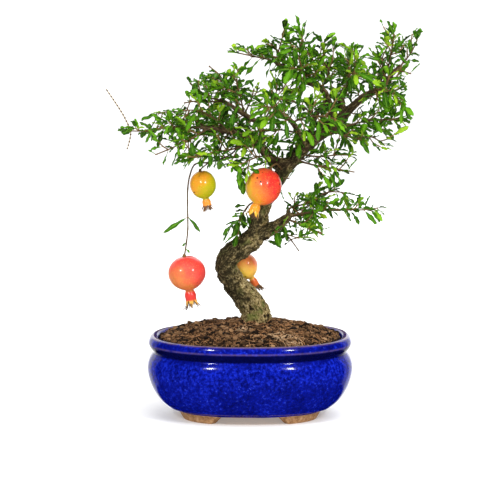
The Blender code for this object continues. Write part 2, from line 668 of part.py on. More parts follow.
def build_fruit(name, middle, width, height, axis, neck, reach, spread, finish):
    """Rind, neck and crown as one grown body, turned about its own axis."""
    tall, wide = height / 2.0, width / 2.0
    rows = []
    for degrees in RIND_DEGREES:
        turn = math.radians(degrees)
        rows.append((-tall * math.cos(turn), wide * math.sin(turn)))
    lobe_start = tall + reach * LOBE_START
    lobe_end = tall + reach
    rows += [(tall * 0.99, neck * 0.86), (tall + reach * 0.2, neck), (lobe_start, neck * 1.05)]
    points = [Vector((0.0, 0.0, -tall))]
    count = FRUIT_SECTORS
    for level, (depth, radius) in enumerate(rows):
        for index in range(count):
            turn = math.tau * index / count
            rib = RIND_RIB_HEIGHT if level < len(RIND_DEGREES) else 0.0
            reached = radius * (1.0 + rib * math.cos(RIND_RIBS * turn))
            points.append(Vector((reached * math.cos(turn), reached * math.sin(turn), depth)))
    valley = (lobe_start + (lobe_end - lobe_start) * 0.25, neck * 1.15)
    for wall in (0.0, LOBE_WALL):
        for index in range(count):
            turn = math.tau * index / count
            depth, radius = (lobe_end - wall * 0.3, spread) if index % 2 else valley
            points.append(Vector(((radius - wall) * math.cos(turn), (radius - wall) * math.sin(turn), depth)))
    cup = lobe_start - reach * 0.1
    for index in range(count):
        turn = math.tau * index / count
        points.append(Vector(((neck - LOBE_WALL) * math.cos(turn), (neck - LOBE_WALL) * math.sin(turn), cup)))
    points.append(Vector((0.0, 0.0, cup - 0.5)))
    faces = [(0, 1 + (i + 1) % count, 1 + i) for i in range(count)]
    levels = len(rows) + 3
    for level in range(levels - 1):
        faces += side_faces(1 + level * count, count)
    top = 1 + (levels - 1) * count
    faces += [(top + i, top + (i + 1) % count, len(points) - 1) for i in range(count)]
    turn = UP.rotation_difference(Vector(axis).normalized()).to_matrix()
    placed = [turn @ point + Vector(middle) for point in points]
    add_object(name, placed, faces, finish)
    return placed, faces


def leave_wood(line, wood, half, lift):
    """Where a stem's line leaves the wood, and its first four corners just off the bark.

    The bark is round between the corners, so the lift raises them until their face clears it.
    """
    distance = 0.0
    while distance < line.length:
        place = line.at(distance)
        nearest, normal, _, _ = wood.find_nearest(place)
        if (place - nearest).dot(normal) > 0.0:
            break
        distance += 0.5
    along = line.along(distance + 1.0)
    across = carried(Vector((0.2, 0.3, 1.0)), along)
    start = Ring(line.at(distance), along, across, half)
    corners = []
    furthest = 0.0
    for corner in start.corners():
        hit, normal, _, _ = wood.ray_cast(corner + along * BARK_PROBE_START, -along, BARK_PROBE_REACH)
        if hit is None:
            hit, normal = corner, along
        corners.append(hit + along * (GAP / max(normal.dot(along), 0.3) + lift))
        furthest = max(furthest, (corners[-1] - start.centre).dot(along))
    return distance, start, corners, furthest


def plan_stem(name, rows, wood, step=KNOT_STEP, half=None, first=FIRST_KNOT):
    """A stem along a hand-placed line from the wood, with its knots evenly spaced."""
    line = Line(rows)
    base_half = half or STEM_BASE + STEM_SWELL * line.length
    for lift in range(BASE_LIFTS):
        distance, start, corners, furthest = leave_wood(line, wood, base_half, BASE_LIFT * lift)
        stem = Stem(name, corners, space_knots(line, start, distance + furthest + first, step, half))
        if not BVHTree.FromPolygons(*stem_body(stem)).overlap(wood):
            break
    return stem


def space_knots(line, start, low, step, half):
    """Knots evenly spaced along a stem's line, from a distance along it to its tip."""
    count = max(1, round((line.length - low) / step))
    spacing = (line.length - KNOT_HALF_LENGTH - low) / count
    across = start.across
    knots = []
    for index in range(count + 1):
        place = low + spacing * index
        along = line.along(place)
        across = carried(across, along)
        knot_half = start.half + ((half or STEM_TIP) - start.half) * place / line.length
        knots.append(Knot(Ring(line.at(place), along, across, knot_half)))
    return knots


def stem_body(stem):
    """Closed surface of a stem alone."""
    rings = [stem.base]
    for knot in stem.knots:
        rings.append(knot.ring.moved(-KNOT_HALF_LENGTH).corners())
        rings.append(knot.ring.moved(KNOT_HALF_LENGTH).corners())
    points, faces = tube(rings)
    return points, halves(faces[0]) + faces[1:-1] + halves(faces[-1])


def bud(knot, side):
    """Middle of a knot's side and the direction that the side faces."""
    facing = knot.ring.facing(side)
    return knot.ring.centre + facing * knot.ring.half * math.cos(math.radians(45.0)), facing


def plan_twig(name, knot, side, length, lean, draw):
    """A short curved side twig with two knots."""
    foot, facing = bud(knot, side)
    turn = math.radians(lean)
    start = facing * math.sin(turn) + knot.ring.along * math.cos(turn)
    sideways = start.cross(UP).normalized() * draw.uniform(-0.25, 0.25)
    rows = [foot, foot + start * length * 0.4,
            foot + (start * 0.95 + UP * draw.uniform(0.0, 0.3) + sideways) * length]
    line = Line(rows)
    across = carried(-knot.ring.along, start)
    knots = []
    for share in (0.5, 1.0):
        place = line.length * share - KNOT_HALF_LENGTH
        along = line.along(place)
        across = carried(across, along)
        knots.append(Knot(Ring(line.at(place), along, across, TWIG_HALF)))
    quad = knot_side(knot, side)
    return Stem(name, quad, knots)


def knot_side(knot, side):
    """The four corners of a knot's side, against the clock from outside."""
    low = knot.ring.moved(-KNOT_HALF_LENGTH).corners()
    high = knot.ring.moved(KNOT_HALF_LENGTH).corners()
    return [low[side], low[(side + 1) % 4], high[(side + 1) % 4], high[side]]


def twig_envelope(twig, clear_from):
    """The twig's room, from a little way off its parent to past its tip."""
    first, last = twig.knots[0].ring, twig.knots[-1].ring
    foot = sum(twig.base, Vector()) / 4.0
    start = (first.centre - foot).normalized()
    rings = [Ring(foot + start * clear_from, start, carried(first.across, start), TWIG_HALF + CLEARANCE)]
    rings += [Ring(ring.centre, ring.along, ring.across, TWIG_HALF + CLEARANCE) for ring in (first, last)]
    rings.append(last.moved(3.0))
    return tube([ring.corners() for ring in rings])


def plan_leaf(knot, side, lean, draw, scale=1.0):
    """A leaf on a knot's side, or at a stem's end where the side is None."""
    if side is None:
        foot = knot.ring.centre + knot.ring.along * KNOT_HALF_LENGTH
        tilt = knot.ring.across * draw.uniform(-0.3, 0.3) + knot.ring.beside * draw.uniform(-0.3, 0.3)
        out = (knot.ring.along + tilt).normalized()
    else:
        foot, facing = bud(knot, side)
        turn = math.radians(lean)
        out = (facing * math.sin(turn) + knot.ring.along * math.cos(turn)).normalized()
    flat = out.cross(UP)
    flat = flat.normalized() if flat.length > 0.15 else knot.ring.across.copy()
    roll = math.radians(draw.uniform(-LEAF_ROLL, LEAF_ROLL))
    flat = Matrix.Rotation(roll, 3, out) @ flat
    length = draw.uniform(*LEAF_LENGTHS) * scale
    width = length * LEAF_SHAPE * draw.uniform(0.88, 1.12)
    droop = draw.uniform(*LEAF_DROOP)
    wave = draw.choice((-1.0, 1.0)) * LEAF_WAVE
    return Leaf(foot, out, flat, length, width, droop, wave)


def leaf_solid(leaf, foot_corners):
    """The blade as it is built, for later pieces to keep clear of."""
    return tube_to_tip([foot_corners] + matched(foot_corners, leaf.rings()), leaf.tip())


def tube_to_tip(rings, tip):
    """Points and faces of a closed tube that ends in a point."""
    points, faces = tube(rings)
    top = faces.pop()
    points.append(tip)
    faces += [(top[i], top[(i + 1) % 4], len(points) - 1) for i in range(4)]
    return points, faces


def matched(foot_corners, rings):
    """The rings with their corners numbered to lie nearest to the foot's."""
    def spread(shift):
        return sum((foot_corners[i] - rings[0][(i + shift) % 4]).length for i in range(4))

    shift = min(range(4), key=spread)
    return [[ring[(i + shift) % 4] for i in range(4)] for ring in rings]


def in_crown(point):
    """Whether a place looks inside the crown's outline from the front."""
    height = point.z + VIEW_RISE * point.y
    inside = False
    before = CROWN_OUTLINE[-1]
    for corner in CROWN_OUTLINE:
        if (corner[1] > height) != (before[1] > height):
            share = (height - corner[1]) / (before[1] - corner[1])
            if point.x < corner[0] + share * (before[0] - corner[0]):
                inside = not inside
        before = corner
    return inside


def try_leaf(name, knot, side, leans, draw, taken, scale=1.0):
    """Place a leaf that crosses nothing, or none after a few tries, each with a smaller leaf."""
    corners = knot_side(knot, side) if side is not None else knot.ring.moved(KNOT_HALF_LENGTH).corners()
    for attempt in range(TRIES):
        leaf = plan_leaf(knot, side, draw.uniform(*leans), draw, scale * (1.0 - SHRINK * attempt))
        if not (in_crown(leaf.tip()) and in_crown(leaf.section(LEAF_BELLY)[0])):
            continue
        if (taken.hit(*leaf.body(CLEARANCE, CLEAR_FROM))
                or taken.hit(*leaf.body(CLEARANCE, CLEAR_FROM_OWN), name)):
            continue
        knot.grown[side] = leaf
        taken.add(*leaf_solid(leaf, corners), name)
        return leaf
    return None


def add_twigs(stem, taken):
    """Side twigs on some knots, turned to the freer sides."""
    draw = random.Random(stem.name + " twigs")
    twigs = []
    for index in range(1, len(stem.knots) - 1, TWIG_EVERY):
        knot = stem.knots[index]
        sides = [0, 1, 2, 3]
        draw.shuffle(sides)
        for side in sides:
            if knot.ring.facing(side).z < TWIG_LOWEST_FACING:
                continue
            length = draw.uniform(*TWIG_LENGTHS)
            twig = plan_twig(stem.name, knot, side, length, draw.uniform(*TWIG_LEANS), draw)
            if not in_crown(twig.knots[-1].ring.centre):
                continue
            if (taken.hit(*twig_envelope(twig, CLEAR_FROM))
                    or taken.hit(*twig_envelope(twig, CLEAR_FROM_OWN), stem.name)):
                continue
            knot.grown[side] = twig
            taken.add(*stem_body(twig), stem.name)
            twigs.append(twig)
            break
    return twigs


def add_leaves(stem, taken, is_twig):
    """A tuft at the tip, and leaves in twos and threes back along the stem."""
    draw = random.Random(stem.name + (" twig leaves" if is_twig else " leaves"))
    for index in reversed(range(len(stem.knots))):
        knot = stem.knots[index]
        last = index == len(stem.knots) - 1
        if last:
            try_leaf(stem.name, knot, None, (0.0, 0.0), draw, taken, TIP_LEAF_SCALE)
        sides = [side for side in range(4) if side not in knot.grown]
        draw.shuffle(sides)
        if last:
            wanted = 2
        elif is_twig:
            wanted = draw.choice((0, 1))
        elif index == 0:
            wanted = 0
        else:
            wanted = draw.choice((1, 2))
        for side in sides:
            if wanted == 0:
                break
            leans = TIP_LEAF_LEANS if last else LEAF_LEANS
            if try_leaf(stem.name, knot, side, leans, draw, taken):
                wanted -= 1


def mesh_stem(builder, stem, start):
    """Skin a stem from its start corners, then its leaves and twigs from its knots."""
    below = start
    for knot in stem.knots:
        low = [builder.verts.new(corner) for corner in knot.ring.moved(-KNOT_HALF_LENGTH).corners()]
        high = [builder.verts.new(corner) for corner in knot.ring.moved(KNOT_HALF_LENGTH).corners()]
        skin(builder, below, low)
        for side in range(4):
            quad = [low[side], low[(side + 1) % 4], high[(side + 1) % 4], high[side]]
            grow(builder, quad, knot.grown.get(side))
        below = high
    grow(builder, below, stem.knots[-1].grown.get(None))


def close_quad(builder, quad):
    for corners in halves(quad):
        builder.faces.new(corners)


def skin(builder, below, above):
    for i in range(4):
        close_quad(builder, (below[i], below[(i + 1) % 4], above[(i + 1) % 4], above[i]))


def skin_blade(builder, below, above):
    """The same for a blade, whose twisted quads are split later, along their shorter diagonal."""
    for i in range(4):
        builder.faces.new((below[i], below[(i + 1) % 4], above[(i + 1) % 4], above[i]))


def grow(builder, quad, what):
    """Close a side of a knot with a plain face, a leaf or a twig."""
    if what is None:
        close_quad(builder, quad)
    elif isinstance(what, Stem):
        mesh_stem(builder, what, quad)
    else:
        below = quad
        for ring in matched([vert.co for vert in quad], what.rings()):
            above = [builder.verts.new(corner) for corner in ring]
            skin_blade(builder, below, above)
            below = above
        tip = builder.verts.new(what.tip())
        for i in range(4):
            builder.faces.new((below[i], below[(i + 1) % 4], tip))


def build_stem(stem, finish):
    """The whole leafy stem as one closed body."""
    builder = bmesh.new()
    base = [builder.verts.new(corner) for corner in stem.base]
    close_quad(builder, tuple(reversed(base)))
    mesh_stem(builder, stem, base)
    quads = [face for face in builder.faces if len(face.verts) == 4]
    bmesh.ops.triangulate(builder, faces=quads, quad_method="SHORT_EDGE")
    bmesh.ops.translate(builder, vec=POT_CENTRE, verts=builder.verts)
    bmesh.ops.scale(builder, vec=(MM, MM, MM), verts=builder.verts)
    mesh = bpy.data.meshes.new(stem.name)
    builder.to_mesh(mesh)
    builder.free()
    mesh.materials.append(finish)
    result = bpy.data.objects.new(stem.name, mesh)
    bpy.context.scene.collection.objects.link(result)


def surface_of(target):
    """Points in millimetres about the pot's centre, and faces, of an object."""
    points = [target.matrix_world @ vert.co / MM - POT_CENTRE for vert in target.data.vertices]
    return points, [tuple(face.vertices) for face in target.data.polygons]


def hang_small_fruit(branch, knot_index):
    """The yellow fruit's short stalk, which leaves the long branch at a knot."""
    knot = branch.knots[knot_index]
    aim = Vector(SMALL_STALK[-1]) - knot.ring.centre
    side = max(range(4), key=lambda number: knot.ring.facing(number).dot(aim))
    line = Line(SMALL_STALK)
    along = line.along(line.length)
    across = carried(-knot.ring.along, along)
    end = Knot(Ring(line.at(line.length - KNOT_HALF_LENGTH), along, across, TWIG_HALF))
    knot.grown[side] = Stem(branch.name, knot_side(knot, side), [end])
    return knot.grown[side]


def add_bare_twigs(stem):
    """Straight leafless twigs, each from the side of its knot that faces its tip."""
    twigs = []
    for index, tip in BARE_TWIGS:
        knot = stem.knots[index]
        aim = Vector(tip) - knot.ring.centre
        side = max(range(4), key=lambda number: knot.ring.facing(number).dot(aim))
        foot, facing = bud(knot, side)
        line = Line([foot, foot + (aim.normalized() + facing * 0.5) * 6.0, Vector(tip)])
        across = carried(-knot.ring.along, line.along(6.0))
        knots = []
        for share in BARE_TWIG_KNOTS:
            place = line.length * share - KNOT_HALF_LENGTH
            along = line.along(place)
            across = carried(across, along)
            knots.append(Knot(Ring(line.at(place), along, across, TWIG_HALF * (1.15 - 0.3 * share))))
        twig = Stem(stem.name, knot_side(knot, side), knots)
        knot.grown[side] = twig
        twigs.append(twig)
    return twigs


def main():
    for old in list(bpy.data.objects):
        bpy.data.objects.remove(old)
    glaze = material("cobalt_glaze", (0.01, 0.02, 0.32), 0.12)
    mesh_plastic = material("screen_plastic", (0.03, 0.03, 0.03), 0.5)
    peat = material("peat", (0.09, 0.045, 0.022), 0.95)
    bark = material("bark", (0.13, 0.09, 0.05), 0.85)
    leaf_green = material("leaf", (0.06, 0.17, 0.02), 0.35)
    stalk_brown = material("stalk", (0.16, 0.08, 0.03), 0.7)
    rinds = {"fruit_hanging": (0.75, 0.09, 0.05), "fruit_yellow": (0.75, 0.42, 0.04),
             "fruit_front": (0.78, 0.16, 0.03), "fruit_small": (0.8, 0.3, 0.08)}

    build_pot(glaze)
    for side, place in (("left", -DRAIN_X), ("right", DRAIN_X)):
        build_screen("drain_screen_" + side, place, mesh_plastic)
    build_soil(peat)
    trunk = build_trunk(bark)
    taken = Obstacles()
    taken.add(*surface_of(trunk), "trunk", everywhere=True)
    wood = BVHTree.FromPolygons(*surface_of(trunk))
    for name, sizes in FRUITS.items():
        taken.add(*build_fruit(name, *sizes, material(name + "_rind", rinds[name], 0.3)), name)

    branch = plan_stem("branch_of_fruit", FRUIT_BRANCH, wood, FRUIT_BRANCH_STEP, FRUIT_BRANCH_HALF)
    small = hang_small_fruit(branch, SMALL_STALK_KNOT)
    stalks = [plan_stem("stalk_front", FRONT_STALK, wood, *FRONT_STALK_SIZES),
              plan_stem("stalk_small", BACK_STALK, wood, *BACK_STALK_SIZES)]
    stems = [plan_stem("stem_" + name, rows, wood) for name, rows in STEMS.items()]
    bare = add_bare_twigs(stems[0])
    for stem in [branch, small] + stalks + stems + bare:
        taken.add(*stem_body(stem), stem.name)
    twigs = [twig for stem in stems for twig in add_twigs(stem, taken)]
    for twig in twigs:
        add_leaves(twig, taken, True)
    for stem in stems:
        add_leaves(stem, taken, False)
    for stem in [branch] + stalks:
        build_stem(stem, stalk_brown)
    for stem in stems:
        build_stem(stem, leaf_green)


main()
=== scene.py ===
"""Looks of a dwarf pomegranate bonsai in an oval cobalt pot.

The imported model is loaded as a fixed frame. Finer pieces then stand in for its solids: a
glazed pot, crumbly soil, a barked trunk, fruits with their crowns, and leafy stems that
follow the same growth rule as the solids, with more leaves on them.

Shapes are worked out in millimetres about the pot's centre, with X along the pot, the
front at -Y and Z up, and are placed in metres when a mesh is made.
"""

from __future__ import annotations

import bisect
import itertools
import json
import logging
import math
import random
from dataclasses import dataclass, field
from enum import Enum

import bmesh
import bpy
from mathutils import Matrix, Vector, noise
from mathutils.bvhtree import BVHTree
from mathutils.kdtree import KDTree

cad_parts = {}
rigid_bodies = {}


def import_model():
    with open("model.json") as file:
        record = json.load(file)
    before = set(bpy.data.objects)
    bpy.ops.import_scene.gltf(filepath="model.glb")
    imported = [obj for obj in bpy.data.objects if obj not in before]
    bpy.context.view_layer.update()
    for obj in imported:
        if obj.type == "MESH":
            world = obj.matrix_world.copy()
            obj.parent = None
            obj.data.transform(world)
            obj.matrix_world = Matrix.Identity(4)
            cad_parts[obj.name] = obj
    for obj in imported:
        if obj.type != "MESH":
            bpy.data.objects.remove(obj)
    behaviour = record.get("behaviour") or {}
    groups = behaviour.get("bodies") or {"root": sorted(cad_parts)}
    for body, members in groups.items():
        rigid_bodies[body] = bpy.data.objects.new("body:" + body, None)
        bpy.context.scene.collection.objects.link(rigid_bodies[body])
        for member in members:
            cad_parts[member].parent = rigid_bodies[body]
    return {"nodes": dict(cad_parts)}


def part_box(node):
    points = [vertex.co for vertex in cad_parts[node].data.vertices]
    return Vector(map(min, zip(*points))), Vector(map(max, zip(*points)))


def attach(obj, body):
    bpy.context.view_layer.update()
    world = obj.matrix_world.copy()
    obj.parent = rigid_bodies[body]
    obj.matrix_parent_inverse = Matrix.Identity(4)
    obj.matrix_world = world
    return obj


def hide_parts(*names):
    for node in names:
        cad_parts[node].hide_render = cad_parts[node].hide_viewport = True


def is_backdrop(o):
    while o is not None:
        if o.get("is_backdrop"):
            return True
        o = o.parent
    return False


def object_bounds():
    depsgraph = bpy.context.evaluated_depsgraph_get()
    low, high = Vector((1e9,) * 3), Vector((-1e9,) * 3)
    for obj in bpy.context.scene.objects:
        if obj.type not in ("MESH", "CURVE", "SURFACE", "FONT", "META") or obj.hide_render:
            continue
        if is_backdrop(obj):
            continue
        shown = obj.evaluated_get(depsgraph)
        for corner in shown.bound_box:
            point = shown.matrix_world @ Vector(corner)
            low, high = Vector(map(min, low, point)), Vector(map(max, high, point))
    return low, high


LOG = logging.getLogger("bonsai")
MM = 0.001
UP = Vector((0.0, 0.0, 1.0))

Points = list[Vector]
Faces = list[tuple[int, ...]]
Surface = tuple[Points, Faces]
Colour = tuple[float, float, float]


class Slot(Enum):
    """The record's material slots that the pieces here stand for."""

    GLAZE = "cobalt_glaze"
    PEAT = "peat"
    BARK = "bark"
    LEAF = "leaf"
    STALK = "stalk"
    CORAL = "coral_rind"
    YELLOW = "yellow_rind"
    ORANGE = "orange_rind"
    PEACH = "peach_rind"


# Wood: middle line and thickness, x, y, z, diameter
TRUNK = [
    (6.5, 14, 99, 30), (3.5, 12, 107, 26), (-4.5, 9, 120, 24.5), (-14.5, 6, 132, 22.5), (-21.5, 3, 144, 22),
    (-24.5, 2, 155, 20.5), (-18, 1, 165, 21), (-7, 1, 172, 21), (4, 2, 180, 20.5), (9, 3, 193, 18),
    (11, 4, 209, 16.5), (21, 4, 228, 15), (34, 2, 248, 13.5), (50, 0, 267, 12.7), (64, 0, 280, 12),
    (77, 0, 291, 12), (88, 0, 300, 11), (94, 0, 306, 9),
]
LIMBS = {
    "right_lower": [(3, 2, 180, 15), (20, -4, 190, 13.5), (31, -7, 197, 10.5), (41, -8, 206, 7.5)],
    "left": [(42, 1, 257, 8.4), (20, -5, 261, 6.6), (9, -8, 273, 6), (-6, -11, 284, 5.4),
             (-28, -14, 291, 5), (-50, -16, 294, 4.6)],
    "upper_left": [(12, -7, 270, 6), (10, -6, 294, 5.4), (-8, -5, 307, 4.8), (-30, -3, 321, 4.2)],
    "top_left": [(85, 0, 298, 8), (77, 2, 321, 6.6), (70, 4, 331, 6), (47, 8, 341, 5.2), (24, 12, 357, 4.4)],
    "top": [(93, 0, 304, 8.6), (91, 4, 321, 7), (98, 6, 334, 5.8), (104, 8, 345, 4.6)],
    "top_right": [(93, 0, 304, 8.6), (112, -2, 322, 7.4), (128, -4, 331, 6), (141, -5, 346, 5),
                  (150, -5, 355, 4.2)],
    "right_upper": [(66, 0, 282, 7), (84, -6, 289, 5.4), (96, -8, 294, 4.4)],
    "front": [(54, 0, 271, 7.4), (49, -20, 288, 6), (41, -40, 303, 5), (31, -55, 313, 4.2)],
    "back": [(60, 1, 277, 7.4), (62, 20, 291, 6), (69, 40, 304, 5), (78, 57, 314, 4.2)],
    "back_left": [(32, 3, 246, 8), (22, 19, 259, 6.4), (8, 38, 274, 5.2), (-8, 55, 287, 4.2)],
}

# Leafy stems, each along its own line from inside the wood out to its tip
STEMS = {
    "left_tip": [(-48, -16, 294), (-68, -17, 294), (-85, -18, 294), (-99, -18, 291), (-119, -19, 291)],
    "left_low": [(-42, -15, 293), (-56, -24, 285), (-76, -30, 276), (-94, -34, 269)],
    "left_high": [(-45, -16, 294), (-58, -6, 303), (-76, 2, 308), (-92, 6, 305)],
    "left_crest": [(-22, -13, 289), (-34, -17, 302), (-50, -20, 311), (-66, -22, 312)],
    "left_hanging": [(-20, -13, 288), (-30, -20, 274), (-19, -23, 260), (-9, -25, 249)],
    "left_back": [(-24, -13, 290), (-30, 4, 284), (-42, 20, 282), (-58, 30, 280)],
    "left_under": [(6, -10, 275), (-3, -20, 276), (-22, -28, 273), (-42, -31, 270), (-60, -32, 265)],
    "left_front": [(17, -7, 263), (12, -19, 266), (4, -29, 265), (-9, -37, 260)],
    "cluster_top": [(-28, -3, 320), (-26, -2, 337), (-33, -2, 347), (-41, -2, 354)],
    "cluster_left": [(-28, -3, 320), (-42, -7, 323), (-52, -9, 330), (-60, -10, 338)],
    "cluster_stub": [(-27, -3, 319), (-40, 4, 317), (-54, 8, 318), (-66, 12, 315)],
    "cluster_back": [(-18, -4, 313), (-21, 14, 324), (-27, 31, 333), (-34, 45, 338)],
    "cluster_middle": [(-6, -5, 306), (-9, -12, 322), (-13, -15, 337), (-12, -17, 352)],
    "right_low_tip": [(38, -8, 204), (60, -10, 208), (78, -12, 211), (96, -13, 211),
                      (112, -14, 211), (128, -14, 213)],
    "right_low_upper": [(33, -7, 198), (43, -2, 214), (56, 0, 215), (68, 2, 222), (84, 3, 228),
                        (93, 3, 226)],
    "right_low_front": [(36, -8, 201), (48, -20, 198), (60, -30, 194), (72, -38, 190)],
    "right_low_drop": [(27, -6, 194), (36, 2, 184), (44, 6, 174), (49, 8, 166)],
    "right_low_back": [(31, -6, 197), (42, 12, 203), (56, 28, 208), (72, 38, 211)],
    "trunk_twig": [(13, 4, 212), (2, 4, 215), (-7, 3, 208), (-10, 1, 196), (-12, -1, 184)],
    "right_high_tip": [(92, -8, 293), (112, -9, 299), (130, -10, 301), (150, -10, 302)],
    "right_high_drop": [(84, -6, 289), (97, -12, 284), (110, -14, 283), (124, -15, 284), (134, -17, 276)],
    "right_middle": [(50, 0, 266), (66, -4, 263), (84, -6, 265), (99, -6, 265)],
    "right_thin": [(45, 1, 261), (56, -8, 257), (74, -12, 254), (104, -14, 249)],
    "right_back": [(76, 0, 291), (92, 16, 292), (110, 29, 290), (127, 38, 286)],
    "crown_tip": [(141, -5, 346), (150, -5, 355), (157, -5, 363), (162, -5, 371), (166, -5, 380)],
    "crown_inner": [(139, -5, 344), (137, -9, 358), (141, -12, 372), (143, -14, 387)],
    "crown_spire": [(136, -4, 340), (131, 6, 355), (134, 9, 365), (139, 10, 375)],
    "crown_side": [(143, -5, 348), (153, -8, 349), (160, -11, 347)],
    "crown_drop": [(124, -4, 329), (138, -9, 327), (151, -12, 316)],
    "crown_back": [(120, -3, 327), (129, 14, 334), (140, 31, 338), (150, 45, 337)],
    "crown_front": [(116, -2, 324), (122, -19, 331), (132, -36, 335), (142, -50, 333)],
    "top_upright": [(98, 6, 334), (104, 8, 345), (106, 8, 356), (103, 6, 368)],
    "top_front": [(97, 6, 333), (97, -12, 343), (101, -29, 350), (104, -44, 352)],
    "top_back": [(96, 6, 332), (97, 24, 343), (98, 42, 351), (98, 57, 353)],
    "peak_tip": [(34, 10, 351), (30, 15, 364), (20, 16, 375)],
    "peak_left": [(34, 10, 351), (24, 12, 357), (10, 10, 361), (-6, 8, 364), (-13, 8, 366)],
    "peak_twig": [(45, 8, 341), (54, 8, 354), (44, 8, 365), (40, 8, 376)],
    "peak_spire": [(52, 7, 339), (61, 0, 356), (55, -3, 372), (50, -4, 387)],
    "peak_right": [(70, 4, 330), (79, 4, 347), (70, 3, 362), (73, 2, 377)],
    "peak_front": [(58, 6, 336), (55, -12, 346), (48, -30, 354), (40, -45, 357)],
    "peak_back": [(46, 8, 342), (40, 26, 350), (31, 43, 355), (21, 56, 356)],
    "front_tip": [(33, -53, 311), (24, -64, 319), (12, -74, 323)],
    "front_right": [(42, -38, 302), (56, -50, 309), (70, -60, 311), (84, -68, 309)],
    "front_left": [(49, -20, 288), (34, -28, 293), (18, -34, 294), (2, -38, 293)],
    "back_tip": [(76, 54, 312), (84, 66, 320), (94, 76, 323)],
    "back_side": [(66, 32, 299), (52, 44, 308), (38, 54, 313), (22, 62, 313)],
    "back_left_tip": [(0, 47, 281), (-8, 55, 287), (-22, 64, 292), (-36, 71, 293)],
    "back_left_side": [(10, 35, 272), (-6, 33, 281), (-26, 34, 288), (-44, 36, 290)],
}

# Short stems in the middle of the crown that the solids leave out
MORE_STEMS = {
    "middle_rise": [(-6, -5, 306), (0, -9, 318), (4, -11, 332)],
    "middle_peak": [(10, -6, 294), (19, -12, 309), (25, -14, 323), (27, -14, 336)],
    "middle_right": [(60, 5, 336), (50, -3, 334), (41, -8, 328)],
}
# Outline of the crown, x and z, as it looks from the front and a little above, where a place
# further back looks higher by this share: no leaf or side twig reaches past it. From (96, 251)
# it runs in and back, round the gap between the trunk and the twigs on its right
CROWN_OUTLINE = [
    (-133, 288), (-119, 302), (-102, 303), (-98, 313), (-84, 309), (-70, 311), (-59, 306),
    (-51, 316), (-65, 322), (-63, 343), (-52, 340), (-44, 349), (-28, 345), (-18, 358), (-4, 353),
    (12, 349), (16, 360), (2, 364), (-23, 368), (-19, 378), (-5, 373), (8, 378), (20, 388),
    (36, 378), (31, 393), (35, 401), (42, 411), (60, 411), (65, 399), (64, 388), (72, 384),
    (84, 390), (87, 379), (96, 374), (102, 380), (116, 378), (123, 374), (128, 383), (126, 402),
    (142, 399), (148, 385), (158, 383), (170, 395), (174, 387), (166, 375), (168, 365),
    (177, 356), (166, 351), (155, 349), (158, 334), (156, 312), (164, 300), (156, 292),
    (148, 282), (143, 267), (134, 269), (127, 254), (119, 255), (116, 271), (108, 273),
    (107, 257), (96, 251), (68, 249), (66, 239), (62, 230), (50, 228), (34, 227), (34, 237),
    (40, 244), (47, 252), (53, 257), (64, 255), (68, 249), (96, 251), (107, 246), (93, 238),
    (92, 231), (104, 225), (116, 227), (136, 211), (137, 200), (129, 190), (120, 194),
    (117, 206), (102, 206), (111, 192), (112, 178), (100, 180), (96, 198), (84, 200), (78, 184),
    (66, 174), (52, 178), (42, 185), (34, 169), (24, 172), (18, 190), (-10, 168), (-28, 176),
    (-24, 196), (-27, 208), (-18, 229), (-12, 241), (-24, 249), (-34, 241), (-46, 247),
    (-54, 255), (-68, 246), (-73, 256), (-82, 245), (-88, 250), (-88, 263), (-102, 267),
    (-107, 278), (-120, 281),
]
VIEW_RISE = 0.167

# Bare stalks that carry the fruits: the long branch on the left bears two of them
FRUIT_BRANCH = [
    (-6, -11, 284), (-18, -17, 268), (-40, -21, 260), (-51, -22, 260), (-56, -22, 256), (-60, -23, 246),
    (-62, -23, 232), (-62, -23, 212), (-62, -23, 190), (-63.5, -23, 178), (-65.2, -23, 166.5),
]
FRUIT_BRANCH_STEP = 13.0
FRUIT_BRANCH_HALF = 1.2
# Two leaves and two bracts on the long branch: foot, tip and width
BRANCH_LEAVES = (((-62, -23, 205), (-83.5, -22, 188), 4.8), ((-62, -23, 206), (-51.5, -24, 191), 4.0),
                 ((-64.2, -23, 173.5), (-60.2, -24, 169.5), 2.6), ((-63, -23, 180), (-67, -24, 176), 2.2))
# Two leafless twigs at the end of the left stem: which knot they leave, and their tips
BARE_TWIGS = ((-1, (-142, -20, 332)), (-1, (-122, -22, 273)))
SMALL_STALK_KNOT = 3
SMALL_STALK = [(-48.5, -22, 260), (-48.6, -22, 256), (-48.8, -22, 252.6)]
FRONT_STALK = [(33, 1, 247), (28, -12, 256), (23, -20, 258), (20.6, -24, 254.8)]
BACK_STALK = [(-16, 6, 168), (-13.5, 17, 169), (-12.4, 24.5, 160.6)]
# Their knot spacing, half-diagonal and the way to the first knot
FRONT_STALK_SIZES = (9.0, 1.3, 4.0)
BACK_STALK_SIZES = (6.0, 1.1, 1.8)

# Fruits: middle, width, height along its own axis, direction of its crown, neck radius,
# how far the crown reaches past the rind, and how far its lobes spread
FRUITS = {
    "fruit_hanging": ((-62.8, -23.0, 148.8), 36.7, 34.8, (0.15, 0.0, -0.99), 5.3, 18.0, 6.6),
    "fruit_yellow": ((-46.8, -22.0, 237.6), 26.6, 28.2, (0.20, -0.04, -0.98), 4.0, 12.5, 7.4),
    "fruit_front": ((13.4, -24.0, 236.0), 36.6, 37.6, (-0.36, -0.10, -0.92), 4.8, 13.5, 7.6),
    "fruit_small": ((-5.5, 26.5, 148.0), 26.0, 27.6, (0.50, 0.05, -0.86), 3.6, 16.5, 5.4),
}


